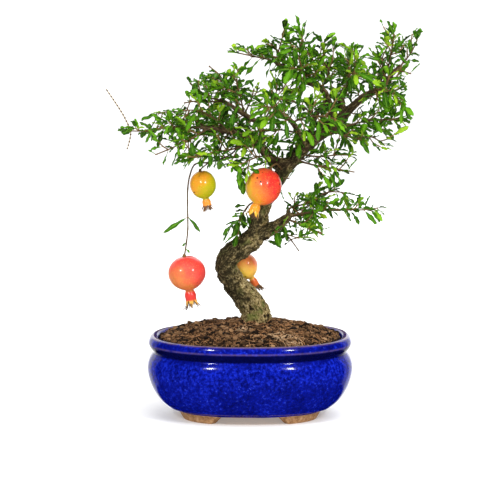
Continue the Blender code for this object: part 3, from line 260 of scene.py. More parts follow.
def ring_faces(start: int, count: int, rings: int) -> Faces:
    """Quads between rings of points that follow each other.

    Args:
        start: number of the first point.
        count: points in a ring.
        rings: number of rings.

    Returns:
        The quads.
    """
    faces = []
    for low in range(start, start + (rings - 1) * count, count):
        for i in range(count):
            after = (i + 1) % count
            faces.append((low + i, low + after, low + count + after, low + count + i))
    return faces


def fan(ring_start: int, count: int, tip: int, outward: bool = True) -> Faces:
    """Triangles from a ring to a point, numbered against the clock seen from the point's side."""
    faces = [(ring_start + i, ring_start + (i + 1) % count, tip) for i in range(count)]
    return faces if outward else [tuple(reversed(face)) for face in faces]


def closed(rings: list[Points], low: Vector | None = None, high: Vector | None = None) -> Surface:
    """A closed surface through rings of points.

    Args:
        rings: the rings, from the first to the last.
        low: the point that closes the first ring, or None for a flat end.
        high: the point that closes the last ring, or None for a flat end.

    Returns:
        Its points and faces.
    """
    count = len(rings[0])
    points = [point for ring in rings for point in ring]
    top = len(points) - count
    faces = ring_faces(0, count, len(rings))
    if low is None:
        faces.append(tuple(reversed(range(count))))
    else:
        faces += fan(0, count, len(points), outward=False)
        points.append(low)
    if high is None:
        faces.append(tuple(range(top, top + count)))
    else:
        faces += fan(top, count, len(points))
        points.append(high)
    return points, faces


def halves(quad: tuple[int, ...]) -> Faces:
    """The two triangles of a quad, always split the same way."""
    return [(quad[0], quad[1], quad[2]), (quad[0], quad[2], quad[3])]


def split_tube(rings: list[Points], tip: Vector | None = None) -> Surface:
    """A closed tube through rings of corners, its sides split into triangles as in the solids.

    Args:
        rings: the rings.
        tip: the point that closes the last ring, or None for a flat end.

    Returns:
        Its points and faces, the first ring's flat end first.
    """
    count = len(rings[0])
    points = [corner for ring in rings for corner in ring]
    top = len(points) - count
    faces = [tuple(reversed(range(count)))]
    faces += [half for quad in ring_faces(0, count, len(rings)) for half in halves(quad)]
    if tip is None:
        faces.append(tuple(range(top, top + count)))
    else:
        faces += fan(top, count, len(points))
        points.append(tip)
    return points, faces


def carried(across: Vector, along: Vector) -> Vector:
    """A crosswise direction carried on to a new direction along a line."""
    return (across - along * across.dot(along)).normalized()


def some_across(along: Vector) -> Vector:
    """Any direction square to a given one."""
    return along.cross(UP if abs(along.z) < 0.9 else Vector((1.0, 0.0, 0.0))).normalized()


def round_point(radius: float, turn: float, height: float = 0.0) -> Vector:
    """A point at an angle in radians on a level circle about the Z axis."""
    return Vector((radius * math.cos(turn), radius * math.sin(turn), height))


def mixed(ends: tuple[float, float], share: float) -> float:
    """The value at a share of the way between two others."""
    return ends[0] + (ends[1] - ends[0]) * share


def bump_at(distance: float, width: float) -> float:
    """A smooth bump of height 1 that falls off over a width."""
    return math.exp(-(distance / width) ** 2)


def clamped(value: float, top: float = 1.0) -> float:
    """A value held between 0 and a top."""
    return min(max(value, 0.0), top)


def smooth(value: float, low: float, high: float) -> float:
    """Smooth step from 0 at low to 1 at high."""
    share = clamped((value - low) / (high - low))
    return share * share * (3.0 - 2.0 * share)


def in_crown(point: Vector) -> bool:
    """Whether a place looks inside the crown's outline from the front.

    Args:
        point: the place.

    Returns:
        True inside, also for places far in front or behind.
    """
    height = point.z + VIEW_RISE * point.y
    inside = False
    before = CROWN_OUTLINE[-1]
    for corner in CROWN_OUTLINE:
        if (corner[1] > height) != (before[1] > height):
            share = (height - corner[1]) / (before[1] - corner[1])
            if point.x < corner[0] + share * (before[0] - corner[0]):
                inside = not inside
        before = corner
    return inside


def sweep(places: Points, radii: list[float], sides: int) -> Surface:
    """A closed round tube through places, with a short point at each end.

    Args:
        places: middle line.
        radii: radius at each place.
        sides: points in a ring.

    Returns:
        Its points and faces.
    """
    rings = []
    ends = []
    across = None
    last = len(places) - 1
    for index, (place, radius) in enumerate(zip(places, radii)):
        along = (places[min(index + 1, last)] - places[max(index - 1, 0)]).normalized()
        across = carried(across, along) if index else some_across(along)
        beside = along.cross(across)
        rings.append([place + (across * math.cos(turn) + beside * math.sin(turn)) * radius
                      for turn in (math.tau * i / sides for i in range(sides))])
        if index in (0, last):
            ends.append(place + along * radius * (0.5 if index else -0.5))
    return closed(rings, *ends)


@dataclass
class Shape:
    """Points and faces gathered for one mesh, with values that its materials read."""

    points: Points = field(default_factory=list)
    faces: Faces = field(default_factory=list)
    finishes: list[int] = field(default_factory=list)
    marks: dict[str, list[float]] = field(default_factory=dict)

    def add(self, surface: Surface, finish: int = 0, **marks: float | list[float]) -> Shape:
        """Add a surface.

        Args:
            surface: its points and faces.
            finish: which of the piece's finishes it has.
            marks: values by name, one for all points or a list with one for each.

        Returns:
            The shape itself.
        """
        points, faces = surface
        start = len(self.points)
        self.points.extend(points)
        self.faces.extend(tuple(start + i for i in face) for face in faces)
        self.finishes.extend([finish] * len(faces))
        for name in set(self.marks) | set(marks):
            row = self.marks.setdefault(name, [0.0] * start)
            value = marks.get(name, 0.0)
            row.extend(value if isinstance(value, list) else [value] * len(points))
        return self


def set_mark(mesh: bpy.types.Mesh, name: str, values: list[float]) -> None:
    """Give each point of a mesh a value that a material reads."""
    mesh.attributes.new(name, "FLOAT", "POINT").data.foreach_set("value", values)


def applied(target: bpy.types.Object, kind: str, **settings: object) -> None:
    """Put one modifier on an object and keep its result as the object's mesh.

    Args:
        target: the object.
        kind: the modifier's type.
        settings: its attributes.
    """
    change = target.modifiers.new(kind.lower(), kind)
    for key, value in settings.items():
        setattr(change, key, value)
    depsgraph = bpy.context.evaluated_depsgraph_get()
    result = bpy.data.meshes.new_from_object(target.evaluated_get(depsgraph))
    target.modifiers.clear()
    target.data = result


@dataclass
class Bench:
    """Where pieces are made: the pot's centre in the frame, the room they have and the finishes."""

    centre: Vector
    low: Vector
    high: Vector
    finishes: dict[str, bpy.types.Material]

    def place(self, name: str, shape: Shape, *finishes: str) -> bpy.types.Object:
        """Make an object of a shape, in metres in the frame.

        Args:
            name: the object's name.
            shape: its points and faces.
            finishes: names of its finishes.

        Returns:
            The object.
        """
        mesh = bpy.data.meshes.new(name)
        mesh.from_pydata([(point + self.centre) * MM for point in shape.points], [], shape.faces)
        for finish in finishes:
            mesh.materials.append(self.finishes[finish])
        mesh.polygons.foreach_set("material_index", shape.finishes)
        mesh.shade_smooth()
        for mark, values in shape.marks.items():
            set_mark(mesh, mark, values)
        made = bpy.data.objects.new(name, mesh)
        bpy.context.scene.collection.objects.link(made)
        return made

    def mount(self, piece: bpy.types.Object, slot: Slot, *nodes: str) -> None:
        """Let a piece ride in the frame, in place of CAD nodes if any are named.

        Args:
            piece: the piece.
            slot: the record's slot that its finish stands for; not used.
            nodes: the CAD nodes that it replaces.
        """
        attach(piece, "root")
        if nodes:
            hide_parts(*nodes)
        LOG.info("%s: %d faces, for %s", piece.name, len(piece.data.polygons), ", ".join(nodes) or "no node")

    def add(self, name: str, shape: Shape, finishes: tuple[str, ...], slot: Slot, *nodes: str) -> None:
        """Make a piece and mount it."""
        self.mount(self.place(name, shape, *finishes), slot, *nodes)

    def surface(self, node: bpy.types.Object) -> Surface:
        """Points in millimetres about the pot's centre, and faces, of an object."""
        points = [vert.co / MM - self.centre for vert in node.data.vertices]
        return points, [tuple(face.vertices) for face in node.data.polygons]


class Wire:
    """An output of a shader node that arithmetic can be written on."""

    def __init__(self, graph: Graph, socket: bpy.types.NodeSocket) -> None:
        """Keep the socket and the graph it belongs to."""
        self.graph = graph
        self.socket = socket

    def __add__(self, other: Wire | float) -> Wire:
        """Sum."""
        return self.graph.math("ADD", self, other)

    __radd__ = __add__

    def __sub__(self, other: Wire | float) -> Wire:
        """Difference."""
        return self.graph.math("SUBTRACT", self, other)

    def __rsub__(self, other: float) -> Wire:
        """Difference from a number."""
        return self.graph.math("SUBTRACT", other, self)
    # How much shade is painted on the bark, mostly on the side turned away from the light.

    def __mul__(self, other: Wire | float) -> Wire:
        """Product."""
        return self.graph.math("MULTIPLY", self, other)

    __rmul__ = __mul__

    def __abs__(self) -> Wire:
        """From 0, no painted shade, to 1."""
        return self.graph.math("ABSOLUTE", self)

    def between(self, low: float, high: float) -> Wire:
        """Smooth step from 0 at low to 1 at high."""
        return self.graph.node("ShaderNodeMapRange", {"interpolation_type": "SMOOTHSTEP"},
                               {"Value": self, "From Min": low, "From Max": high})

    def band(self, low: float, full: float, fading: float, high: float) -> Wire:
        """From 0 at low up to 1 at full, and back from fading to 0 at high."""
        return self.between(low, full) * (1.0 - self.between(fading, high))


class Graph:
    """A material under construction, with a method for each kind of step."""

    def __init__(self, name: str, roughness: float = 0.5, **constants: float | tuple) -> None:
        """Start a material whose shader has constant values on its own sockets.

        Args:
            name: the material's name.
            roughness: the shader's roughness where nothing else feeds it.
            constants: other socket values, with spaces written as underscores.
        """
        self.material = bpy.data.materials.new(name)
        self.material.use_nodes = True
        self.tree = self.material.node_tree
        self.shader = self.tree.nodes["Principled BSDF"]
        self.shader.inputs["Roughness"].default_value = roughness
        for key, value in constants.items():
            self.shader.inputs[key.replace("_", " ")].default_value = value

    def node(self, kind: str, settings: dict | None = None, inputs: dict | None = None,
             output: int | str = 0) -> Wire:
        """Add a node, set it up, then fill its sockets.

        Args:
            kind: the node's type name.
            settings: attributes of the node, or a ramp's stops under the key "stops".
            inputs: values or wires by socket name or number.
            output: which output to hand back.

        Returns:
            The chosen output.
        """
        made = self.tree.nodes.new(kind)
        settings = dict(settings or {})
        stops = settings.pop("stops", ())
        for key, value in settings.items():
            setattr(made, key, value)
        for number, (place, colour) in enumerate(stops):
            ramp = made.color_ramp.elements
            element = ramp[number] if number < len(ramp) else ramp.new(1.0)
            element.position = place
            element.color = (*colour, 1.0)
        for key, value in (inputs or {}).items():
            if isinstance(value, Wire):
                self.tree.links.new(value.socket, made.inputs[key])
            else:
                made.inputs[key].default_value = value
        return Wire(self, made.outputs[output])

    def math(self, operation: str, *values: Wire | float) -> Wire:
        """A Math node on values."""
        return self.node("ShaderNodeMath", {"operation": operation}, dict(enumerate(values)))

    def vector(self, operation: str, *values: Wire | tuple) -> Wire:
        """A Vector Math node on values."""
        return self.node("ShaderNodeVectorMath", {"operation": operation}, dict(enumerate(values)))

    def blend(self, factor: Wire | float, first: Wire | tuple, second: Wire | tuple) -> Wire:
        """A colour between two colours."""
        start, end = (value if isinstance(value, Wire) else (*value, 1.0) for value in (first, second))
        return self.node("ShaderNodeMix", {"data_type": "RGBA"}, {0: factor, 6: start, 7: end}, 2)

    def ramp(self, factor: Wire, *stops: tuple[float, tuple]) -> Wire:
        """A colour ramp through stops."""
        return self.node("ShaderNodeValToRGB", {"stops": stops}, {"Fac": factor})

    def place(self) -> Wire:
        """The point's place in the object, in metres."""
        return self.node("ShaderNodeTexCoord", output="Object")

    def cloud(self, scale: float, detail: float = 3.0, rough: float = 0.55,
              stretch: tuple | None = None) -> Wire:
        """A noise pattern, its scale counted per metre.

        Args:
            scale: how many lumps there are in a metre.
            detail: how many finer layers it has.
            rough: how strong the finer layers are.
            stretch: shares that scale the place along X, Y and Z, if it is scaled.

        Returns:
            The pattern, about 0.5 in the middle.
        """
        place = self.vector("MULTIPLY", self.place(), stretch) if stretch else self.place()
        inputs = {"Vector": place, "Scale": scale, "Detail": detail, "Roughness": rough}
        return self.node("ShaderNodeTexNoise", None, inputs)

    def cells(self, scale: float) -> Wire:
        """Distance to the middle of the nearest cell of a pattern, its scale counted per metre."""
        return self.node("ShaderNodeTexVoronoi", None, {"Vector": self.place(), "Scale": scale})

    def mark(self, name: str) -> Wire:
        """A value that the mesh carries at each point."""
        return self.node("ShaderNodeAttribute", {"attribute_name": name}, output="Fac")

    def finish(self, colour: Wire | tuple, roughness: Wire | None = None, height: Wire | None = None,
               depth: float = 0.0005, strength: float = 1.0) -> bpy.types.Material:
        """Feed the shader and hand back the material.

        Args:
            colour: the base colour.
            roughness: what feeds the roughness, if it changes.
            height: what feeds a Bump node, if there is relief.
            depth: how deep the relief is, in metres.
            strength: how strongly it shows.

        Returns:
            The finished material.
        """
        feeds = {"Base Color": colour, "Roughness": roughness}
        if height is not None:
            inputs = {"Height": height, "Distance": depth, "Strength": strength}
            feeds["Normal"] = self.node("ShaderNodeBump", None, inputs)
        for key, value in feeds.items():
            if isinstance(value, Wire):
                self.tree.links.new(value.socket, self.shader.inputs[key])
            elif value is not None:
                self.shader.inputs[key].default_value = (*value, 1.0)
        return self.material


@dataclass(frozen=True)
class CobaltGlaze:
    """Deep cobalt gloss glaze, mottled, over tan clay that shows on the feet.

    Heights are in metres above the table: where the glaze ends, the stretch of the belly that gets a
    painted sheen, and the band under the rim's bulge that gets painted shade.
    """

    deep: tuple = (0.0008, 0.002, 0.08)
    mid: tuple = (0.0015, 0.005, 0.2)
    # bright: the palest mottle, also the colour of the painted sheen on the belly
    bright: tuple = (0.006, 0.02, 0.46)
    # near-black colour of the painted shade under the rim's bulge
    rim_shade: tuple = (0.0005, 0.001, 0.025)
    worn: tuple = (0.06, 0.12, 0.6)
    thin: tuple = (0.16, 0.1, 0.11)
    clay: tuple = (0.43, 0.23, 0.1)
    clay_dark: tuple = (0.25, 0.12, 0.05)
    clay_light: tuple = (0.6, 0.38, 0.2)
    glaze_line: float = 0.0086
    # heights of the painted sheen band on the belly
    sheen_heights: tuple = (0.038, 0.052, 0.062, 0.066)
    # heights of the painted shade band under the rim's bulge
    rim_shade_heights: tuple = (0.0655, 0.0675, 0.0735, 0.0755)

    def make(self) -> bpy.types.Material:
        """Glaze and clay in one material.

        Returns:
            The pot's material.
        """
        graph = Graph("cobalt_gloss", 0.1, IOR=1.36)
        mottle = graph.cloud(330.0, 6.0, 0.7)
        drift = graph.cloud(45.0, 4.0, 0.6)
        specks = graph.cells(520.0).between(0.36, 0.14)
        body = graph.ramp(mottle * 0.7 + drift * 0.3, (0.39, self.deep), (0.53, self.mid),
                          (0.65, self.bright))
        body = graph.blend(specks * mottle.between(0.52, 0.62) * 0.45, body, self.worn)
        height = graph.node("ShaderNodeSeparateXYZ", None, {0: graph.place()}, "Z")
        # Painted sheen: a brighter band across the belly, in the palest glaze colour.
        body = graph.blend(height.band(*self.sheen_heights) * mottle.between(0.42, 0.64) * 0.5, body, self.bright)
        # Painted shade: the band under the rim's bulge is darkened to near black.
        body = graph.blend(height.band(*self.rim_shade_heights) * 0.92, body, self.rim_shade)
        thin = graph.mark("thin_glaze") * graph.cloud(80.0, 3.0).between(0.25, 0.55)
        body = graph.blend(thin * 0.8, body, self.thin)
        clay = graph.ramp(graph.cloud(260.0, 6.0, 0.7), (0.38, self.clay_dark), (0.52, self.clay),
                          (0.72, self.clay_light))
        line = height + graph.cloud(55.0, 3.0) * 0.0016
        bare = 1.0 - line.between(self.glaze_line + 0.0004, self.glaze_line + 0.001)
        rough = bare * 0.72 + 0.09 + mottle * 0.05
        relief = graph.cloud(46.0, 2.0) * 0.8 + mottle * 0.12 + bare * graph.cloud(900.0, 3.0) * 0.35
        return graph.finish(graph.blend(bare, body, clay), rough, relief, 0.0009, 0.32)


@dataclass(frozen=True)
class Peat:
    """Moist peaty soil: dark crumbs, tan and orange bits."""

    dark: tuple = (0.008, 0.004, 0.002)
    brown: tuple = (0.09, 0.044, 0.018)
    tan: tuple = (0.32, 0.18, 0.085)
    straw: tuple = (0.5, 0.31, 0.17)

    def make(self) -> bpy.types.Material:
        """Crumbs that differ in tone, with a fine grain.

        Returns:
            The soil's and its crumbs' material.
        """
        graph = Graph("peat_crumb", 0.94, Specular_IOR_Level=0.25)
        grain = graph.cloud(620.0, 6.0, 0.72)
        crumb = graph.ramp(grain * 0.55 + graph.mark("tone") * 0.45, (0.35, self.dark), (0.5, self.brown),
                           (0.68, self.tan), (0.85, self.straw))
        return graph.finish(crumb, None, grain, 0.0012, 0.8)


@dataclass(frozen=True)
class DryStrand:
    """Thin dry matter, such as roots in the soil or stamens, that differs in tone."""

    name: str
    roughness: float
    tones: tuple
    grain: float
    depth: float

    def make(self) -> bpy.types.Material:
        """The strands' material."""
        graph = Graph(self.name, self.roughness)
        return graph.finish(graph.ramp(graph.mark("tone"), *self.tones), None, graph.cloud(self.grain),
                            self.depth, 0.5)


@dataclass(frozen=True)
class Bark:
    """Rough grey-brown bark with pale ridges, dark cracks, patches of moss and painted shade."""

    crack: tuple = (0.01, 0.006, 0.002)
    brown: tuple = (0.09, 0.062, 0.02)
    light: tuple = (0.26, 0.19, 0.075)
    pale: tuple = (0.46, 0.37, 0.19)
    moss: tuple = (0.11, 0.13, 0.025)
    # colour of the painted shade on the side turned away from the light
    damp: tuple = (0.019, 0.014, 0.0025)
    young: tuple = (0.09, 0.05, 0.025)

    def make(self) -> bpy.types.Material:
        """Ridges and cracks by the mesh's own marks, then moss, painted shade and younger wood.

        Returns:
            The trunk's and limbs' material.
        """
        graph = Graph("mossy_bark", 0.86, Specular_IOR_Level=0.3)
        grain = graph.cloud(420.0, 7.0, 0.68)
        fine = graph.cloud(1300.0, 4.0, 0.7)
        shade = graph.mark("ridge") * 0.42 + grain * 0.33 + fine * 0.25
        bark = graph.ramp(shade, (0.46, self.crack), (0.525, self.brown), (0.585, self.light),
                          (0.66, self.pale))
        mossy = graph.cloud(75.0, 4.0, 0.65).between(0.5, 0.66) * graph.mark("old")
        bark = graph.blend(mossy * (0.35 + fine * 0.7), bark, self.moss)
        # Painted shade: darker where the bark faces away from the light, round the bend and on the limbs;
        # ridges keep some light.
        bark = graph.blend(graph.mark("damp") * (1.0 - shade.between(0.54, 0.64) * 0.32), bark, self.damp)
        bark = graph.blend((1.0 - graph.mark("old")) * 0.5, bark, self.young)
        return graph.finish(bark, None, grain * 0.7 + fine * 0.3, 0.0011, 0.85)


@dataclass(frozen=True)
class YoungWood:
    """Smooth young twigs, red-brown with olive and pale lenticels."""

    tones: tuple = ((0.0, (0.05, 0.03, 0.008)), (0.3, (0.1, 0.05, 0.013)), (0.6, (0.17, 0.085, 0.022)),
                    (1.0, (0.38, 0.28, 0.12)))
    lenticel: tuple = (0.22, 0.15, 0.05)

    def make(self) -> bpy.types.Material:
        """Tones along the wood, with fine streaks.

        Returns:
            The twigs' material.
        """
        graph = Graph("young_wood", 0.62)
        wood = graph.ramp(graph.mark("tone"), *self.tones)
        streak = graph.cloud(700.0, 4.0, 0.6, (1.0, 1.0, 0.35))
        wood = graph.blend(streak.between(0.4, 0.75) * 0.3, wood, self.lenticel)
        return graph.finish(wood, None, streak, 0.0004, 0.6)


@dataclass(frozen=True)
class LeafGreen:
    """Glossy narrow leaves, with a paler rib and veins and tones from leaf to leaf."""

    deep: tuple = (0.005, 0.026, 0.002)
    mid: tuple = (0.026, 0.118, 0.003)
    fresh: tuple = (0.12, 0.33, 0.006)
    lime: tuple = (0.3, 0.48, 0.02)
    rib: tuple = (0.22, 0.38, 0.05)
    stalk: tuple = (0.3, 0.13, 0.05)

    def make(self) -> bpy.types.Material:
        """A blade by its own tone, with rib, veins and a red stalk by the mesh's marks.

        Returns:
            The leaves' material.
        """
        graph = Graph("leaf_green", 0.5, Specular_IOR_Level=0.12, Subsurface_Weight=0.05,
                      Subsurface_Radius=(0.2, 0.5, 0.1), Subsurface_Scale=0.002)
        blade = graph.ramp(graph.mark("tone"), (0.08, self.deep), (0.5, self.mid), (0.84, self.fresh),
                           (1.0, self.lime))
        patch = graph.cloud(240.0, 3.0).between(0.35, 0.75)
        blade = graph.blend(patch * 0.35, blade, self.fresh)
        off_rib = abs(graph.mark("across"))
        along = graph.mark("along")
        rib = 1.0 - off_rib.between(0.03, 0.13)
        veins = graph.math("SINE", (along * 13.0 - off_rib * 2.2) * math.tau).between(0.82, 1.0)
        blade = graph.blend(rib * 0.55 + veins * 0.14, blade, self.rib)
        blade = graph.blend((1.0 - along.between(0.05, 0.13)) * 0.8, blade, self.stalk)
        return graph.finish(blade, None, veins * 0.3 - rib * 0.8 + patch * 0.3, 0.0002, 0.5)


@dataclass(frozen=True)
class RindFinish:
    """A fruit's rind: three colours blended round it, freckles, and a dull brown crown's rim."""

    name: str
    shade: Colour
    middle: Colour
    sun: Colour
    crown: Colour
    lobe: Colour
    freckles: float
    dry_from: float
    pore: Colour = (0.9, 0.45, 0.12)
    freckle: Colour = (0.06, 0.02, 0.008)
    dry: Colour = (0.17, 0.075, 0.03)

    def make(self) -> bpy.types.Material:
        """Rind by how far it faces the sun, and crown by how far it is from the neck.

        Returns:
            The fruit's material.
        """
        graph = Graph("skin_of_" + self.name, 0.3, Coat_Weight=0.6, Coat_Roughness=0.14,
                      Specular_IOR_Level=0.3, Subsurface_Weight=0.1, Subsurface_Radius=(0.6, 0.2, 0.1),
                      Subsurface_Scale=0.003)
        drift = graph.cloud(60.0, 4.0, 0.6) - 0.5
        sun = graph.mark("sun")
        rind = graph.ramp(sun + drift * 0.75, (0.18, self.shade), (0.48, self.middle), (0.8, self.sun))
        rind = graph.blend(graph.cloud(330.0, 4.0, 0.65).between(0.42, 0.68) * 0.35, rind, self.middle)
        blotch = graph.cloud(130.0, 4.0, 0.7).between(0.5, 0.62) * sun.between(0.4, 0.7)
        rind = graph.blend(blotch * 0.55, rind, self.sun)
        pores = graph.cells(560.0).between(0.3, 0.12)
        rind = graph.blend(pores * 0.3, rind, self.pore)
        spots = graph.cells(190.0).between(0.22, 0.14) * graph.cloud(60.0, 2.0).between(0.47, 0.54)
        rind = graph.blend(spots * self.freckles, rind, self.freckle)
        crown = graph.mark("crown")
        rind = graph.blend(crown.between(0.01, 0.14), rind, self.crown)
        rind = graph.blend(crown.between(0.36, 0.52), rind, self.lobe)
        dry = (crown + (graph.cloud(260.0, 3.0) - 0.5) * 0.4).between(self.dry_from, self.dry_from + 0.22)
        rind = graph.blend(dry * 0.85, rind, self.dry)
        rough = 0.3 + crown * 0.35 + drift * 0.2
        relief = graph.cloud(95.0, 2.0) * 0.8 + pores * 0.12 + crown * graph.cloud(500.0, 3.0) * 0.5
        return graph.finish(rind, rough, relief, 0.0008, 0.35)


@dataclass(frozen=True)
class ScreenPlastic:
    """Black moulded plastic, slightly mottled."""

    dark: tuple = (0.012, 0.012, 0.013)
    light: tuple = (0.03, 0.03, 0.032)

    def make(self) -> bpy.types.Material:
        """One grain for colour, gloss and relief.

        Returns:
            The screens' material.
        """
        graph = Graph("black_plastic", 0.5)
        grain = graph.cloud(900.0, 2.0)
        colour = graph.ramp(grain, (0.3, self.dark), (0.7, self.light))
        return graph.finish(colour, 0.42 + grain * 0.2, grain, 0.0001, 0.3)


def make_finishes() -> dict[str, bpy.types.Material]:
    """Make every finish.

    Returns:
        The materials by the names that the pieces use.
    """
    finishes = {
        "glaze": CobaltGlaze(), "peat": Peat(), "bark": Bark(), "young_wood": YoungWood(),
        "leaf_green": LeafGreen(), "screen": ScreenPlastic(),
        "fibre": DryStrand("dry_fibre", 0.8, ((0.0, (0.2, 0.09, 0.035)), (0.5, (0.45, 0.22, 0.09)),
                                              (1.0, (0.62, 0.43, 0.25))), 900.0, 0.0003),
        "stamen": DryStrand("dry_stamen", 0.85, ((0.0, (0.05, 0.025, 0.012)), (0.6, (0.17, 0.08, 0.03)),
                                                 (1.0, (0.38, 0.22, 0.08))), 1500.0, 0.0002),
    }
    for rind in (
        RindFinish(Slot.CORAL.value, (0.68, 0.2, 0.05), (0.76, 0.085, 0.055), (0.7, 0.045, 0.038),
                   (0.68, 0.04, 0.03), (0.75, 0.38, 0.07), 0.3, 0.7),
        RindFinish(Slot.YELLOW.value, (0.3, 0.36, 0.004), (0.44, 0.36, 0.004), (0.66, 0.26, 0.015),
                   (0.75, 0.27, 0.03), (0.15, 0.065, 0.025), 1.0, 0.5),
        RindFinish(Slot.ORANGE.value, (0.6, 0.36, 0.02), (0.8, 0.17, 0.03), (0.7, 0.025, 0.022),
                   (0.85, 0.3, 0.02), (0.8, 0.42, 0.04), 1.0, 0.72),
        RindFinish(Slot.PEACH.value, (0.95, 0.66, 0.08), (0.98, 0.5, 0.09), (0.9, 0.19, 0.07),
                   (0.7, 0.14, 0.03), (0.2, 0.085, 0.03), 0.6, 0.5),
    ):
        finishes[rind.name] = rind
    return {name: finish.make() for name, finish in finishes.items()}


class Line:
    """A smooth curve through points, measured along its length."""

    STEPS = 10

    def __init__(self, points: list, steps: int = STEPS) -> None:
        """Fit the curve.

        Args:
            points: points, each with further values if it carries any.
            steps: samples between two points.
        """
        rows = [Vector(point) for point in points]
        self.samples = []
        for index, (start, end) in enumerate(zip(rows, rows[1:])):
            before = rows[max(index - 1, 0)]
            after = rows[min(index + 2, len(rows) - 1)]
            for t in (step / steps for step in range(steps)):
                self.samples.append(0.5 * (2 * start + (end - before) * t
                                           + (2 * before - 5 * start + 4 * end - after) * t * t
                                           + (3 * start - before - 3 * end + after) * t ** 3))
        self.samples.append(rows[-1])
        self.reach = [0.0]
        for start, end in zip(self.samples, self.samples[1:]):
            self.reach.append(self.reach[-1] + (end.xyz - start.xyz).length)
        self.length = self.reach[-1]

    def row(self, distance: float) -> Vector:
        """The point there, with any further values that the points carry.

        Args:
            distance: how far along the line.

        Returns:
            The point's values.
        """
        distance = clamped(distance, self.length)
        index = min(max(bisect.bisect_left(self.reach, distance), 1), len(self.reach) - 1)
        span = self.reach[index] - self.reach[index - 1]
        share = (distance - self.reach[index - 1]) / span if span > 0 else 0.0
        return self.samples[index - 1].lerp(self.samples[index], share)

    def at(self, distance: float) -> Vector:
        """The point there."""
        return self.row(distance).xyz

    def along(self, distance: float) -> Vector:
        """The direction there, taken over two millimetres."""
        run = self.at(min(distance + 1.0, self.length)) - self.at(max(distance - 1.0, 0.0))
        return run.normalized()

    def spaced(self, step: float) -> list[float]:
        """Distances from its start to its end, evenly spaced by about a step."""
        count = max(2, round(self.length / step))
        return [self.length * index / count for index in range(count + 1)]

    def axes(self, distances: list[float], across: Vector) -> list[tuple[Vector, Vector, Vector]]:
        """The curve's own axes at distances along it, carried on from a first crosswise direction.

        Args:
            distances: how far along the line.
            across: the first crosswise direction, roughly.

        Returns:
            For each distance the direction along the line and two directions square to it.
        """
        found = []
        for distance in distances:
            along = self.along(distance)
            across = carried(across, along)
            found.append((along, across, along.cross(across)))
        return found

    def knots(self, stops: list[tuple[float, float]], across: Vector) -> list[Knot]:
        """Knots on the line, each at a distance along it and with a half-diagonal."""
        axes = self.axes([place for place, _ in stops], across)
        return [Knot(Ring(self.at(place), along, side, half))
                for (place, half), (along, side, _) in zip(stops, axes)]


@dataclass
class Ring:
    """A square section of a stem: where it is, its axes and its half-diagonal."""

    centre: Vector
    along: Vector
    across: Vector
    half: float

    @property
    def beside(self) -> Vector:
        """The other crosswise direction."""
        return self.along.cross(self.across)

    def corners(self) -> Points:
        """Corners 0 to 3, with side 0 facing across and side 1 facing beside."""
        turns = [math.radians(45.0 + 90.0 * (index - 1)) for index in range(4)]
        return [self.centre + (self.across * math.cos(turn) + self.beside * math.sin(turn)) * self.half
                for turn in turns]

    def facing(self, side: int) -> Vector:
        """The direction that a side faces."""
        return (self.across, self.beside, -self.across, -self.beside)[side]

    def leaning(self, side: int, degrees: float) -> Vector:
        """A direction out of a side, at an angle to the stem."""
        turn = math.radians(degrees)
        return self.facing(side) * math.sin(turn) + self.along * math.cos(turn)

    def moved(self, shift: float) -> Ring:
        """The same section further along the stem."""
        return Ring(self.centre + self.along * shift, self.along, self.across, self.half)


@dataclass
class Leaf:
    """A narrow blade: foot, direction, crosswise direction, size, droop and wave."""

    foot: Vector
    out: Vector
    side: Vector
    length: float
    width: float
    droop: float
    wave: float

    STATIONS = ((0.34, 0.94), (0.68, 0.86))
    FOLD = 0.35
    RIB = 0.8
    TOP = 0.1
    BELLY = 0.6

    def along(self, share: float) -> Vector:
        """The direction of the blade at a share of its length."""
        return (self.out - UP * (2.0 * self.droop * share)).normalized()

    def middle(self, share: float) -> Vector:
        """Middle of the blade at a share of its length."""
        return self.foot + (self.out * share - UP * self.droop * share * share) * self.length

    def ring(self, share: float, width_share: float, wave: float, margin: float) -> Points:
        """Four corners of the plain blade's section.

        Args:
            share: share of the length.
            width_share: share of the width there.
            wave: how far one edge is up and the other down.
            margin: how far the section is grown.

        Returns:
            Right edge, top, left edge and underside.
        """
        middle = self.middle(share)
        normal = self.along(share).cross(self.side).normalized()
        half = self.side * (0.5 * self.width * width_share + margin)
        edge = self.FOLD * width_share
        return [middle + half + normal * (edge + wave), middle + normal * (self.TOP + margin),
                middle - half + normal * (edge - wave), middle - normal * (self.RIB + margin)]

    def rings(self, margin: float = 0.0) -> list[Points]:
        """The plain blade's two sections, grown by a margin."""
        return [self.ring(share, width_share, wave, margin)
                for (share, width_share), wave in zip(self.STATIONS, (self.wave, -self.wave))]

    def tip(self, extra: float = 0.0) -> Vector:
        """Its tip, or a point past it."""
        return self.middle(1.0 + extra / self.length)

    def seen(self) -> bool:
        """Whether its tip and belly look inside the crown's outline."""
        return in_crown(self.tip()) and in_crown(self.middle(self.BELLY))

    def body(self, margin: float, clear_from: float) -> Surface:
        """Closed surface of the blade from a little way off its stem.

        Args:
            margin: how far the blade is grown.
            clear_from: how far off its stem the surface starts.

        Returns:
            Its points and faces.
        """
        near, near_width = self.STATIONS[0]
        start = clear_from / self.length
        first = self.ring(start, 0.3 + 0.7 * near_width * start / near, 0.0, margin)
        return split_tube([first] + self.rings(margin), self.tip(margin))

    def solid(self, corners: Points) -> Surface:
        """The blade as the solids have it, rooted in four corners of its stem.

        Args:
            corners: the corners.

        Returns:
            Its points and faces.
        """
        rings = self.rings()
        shift = min(range(4), key=lambda turn: sum((corners[i] - rings[0][(i + turn) % 4]).length
                                                   for i in range(4)))
        return split_tube([corners] + [ring[shift:] + ring[:shift] for ring in rings], self.tip())


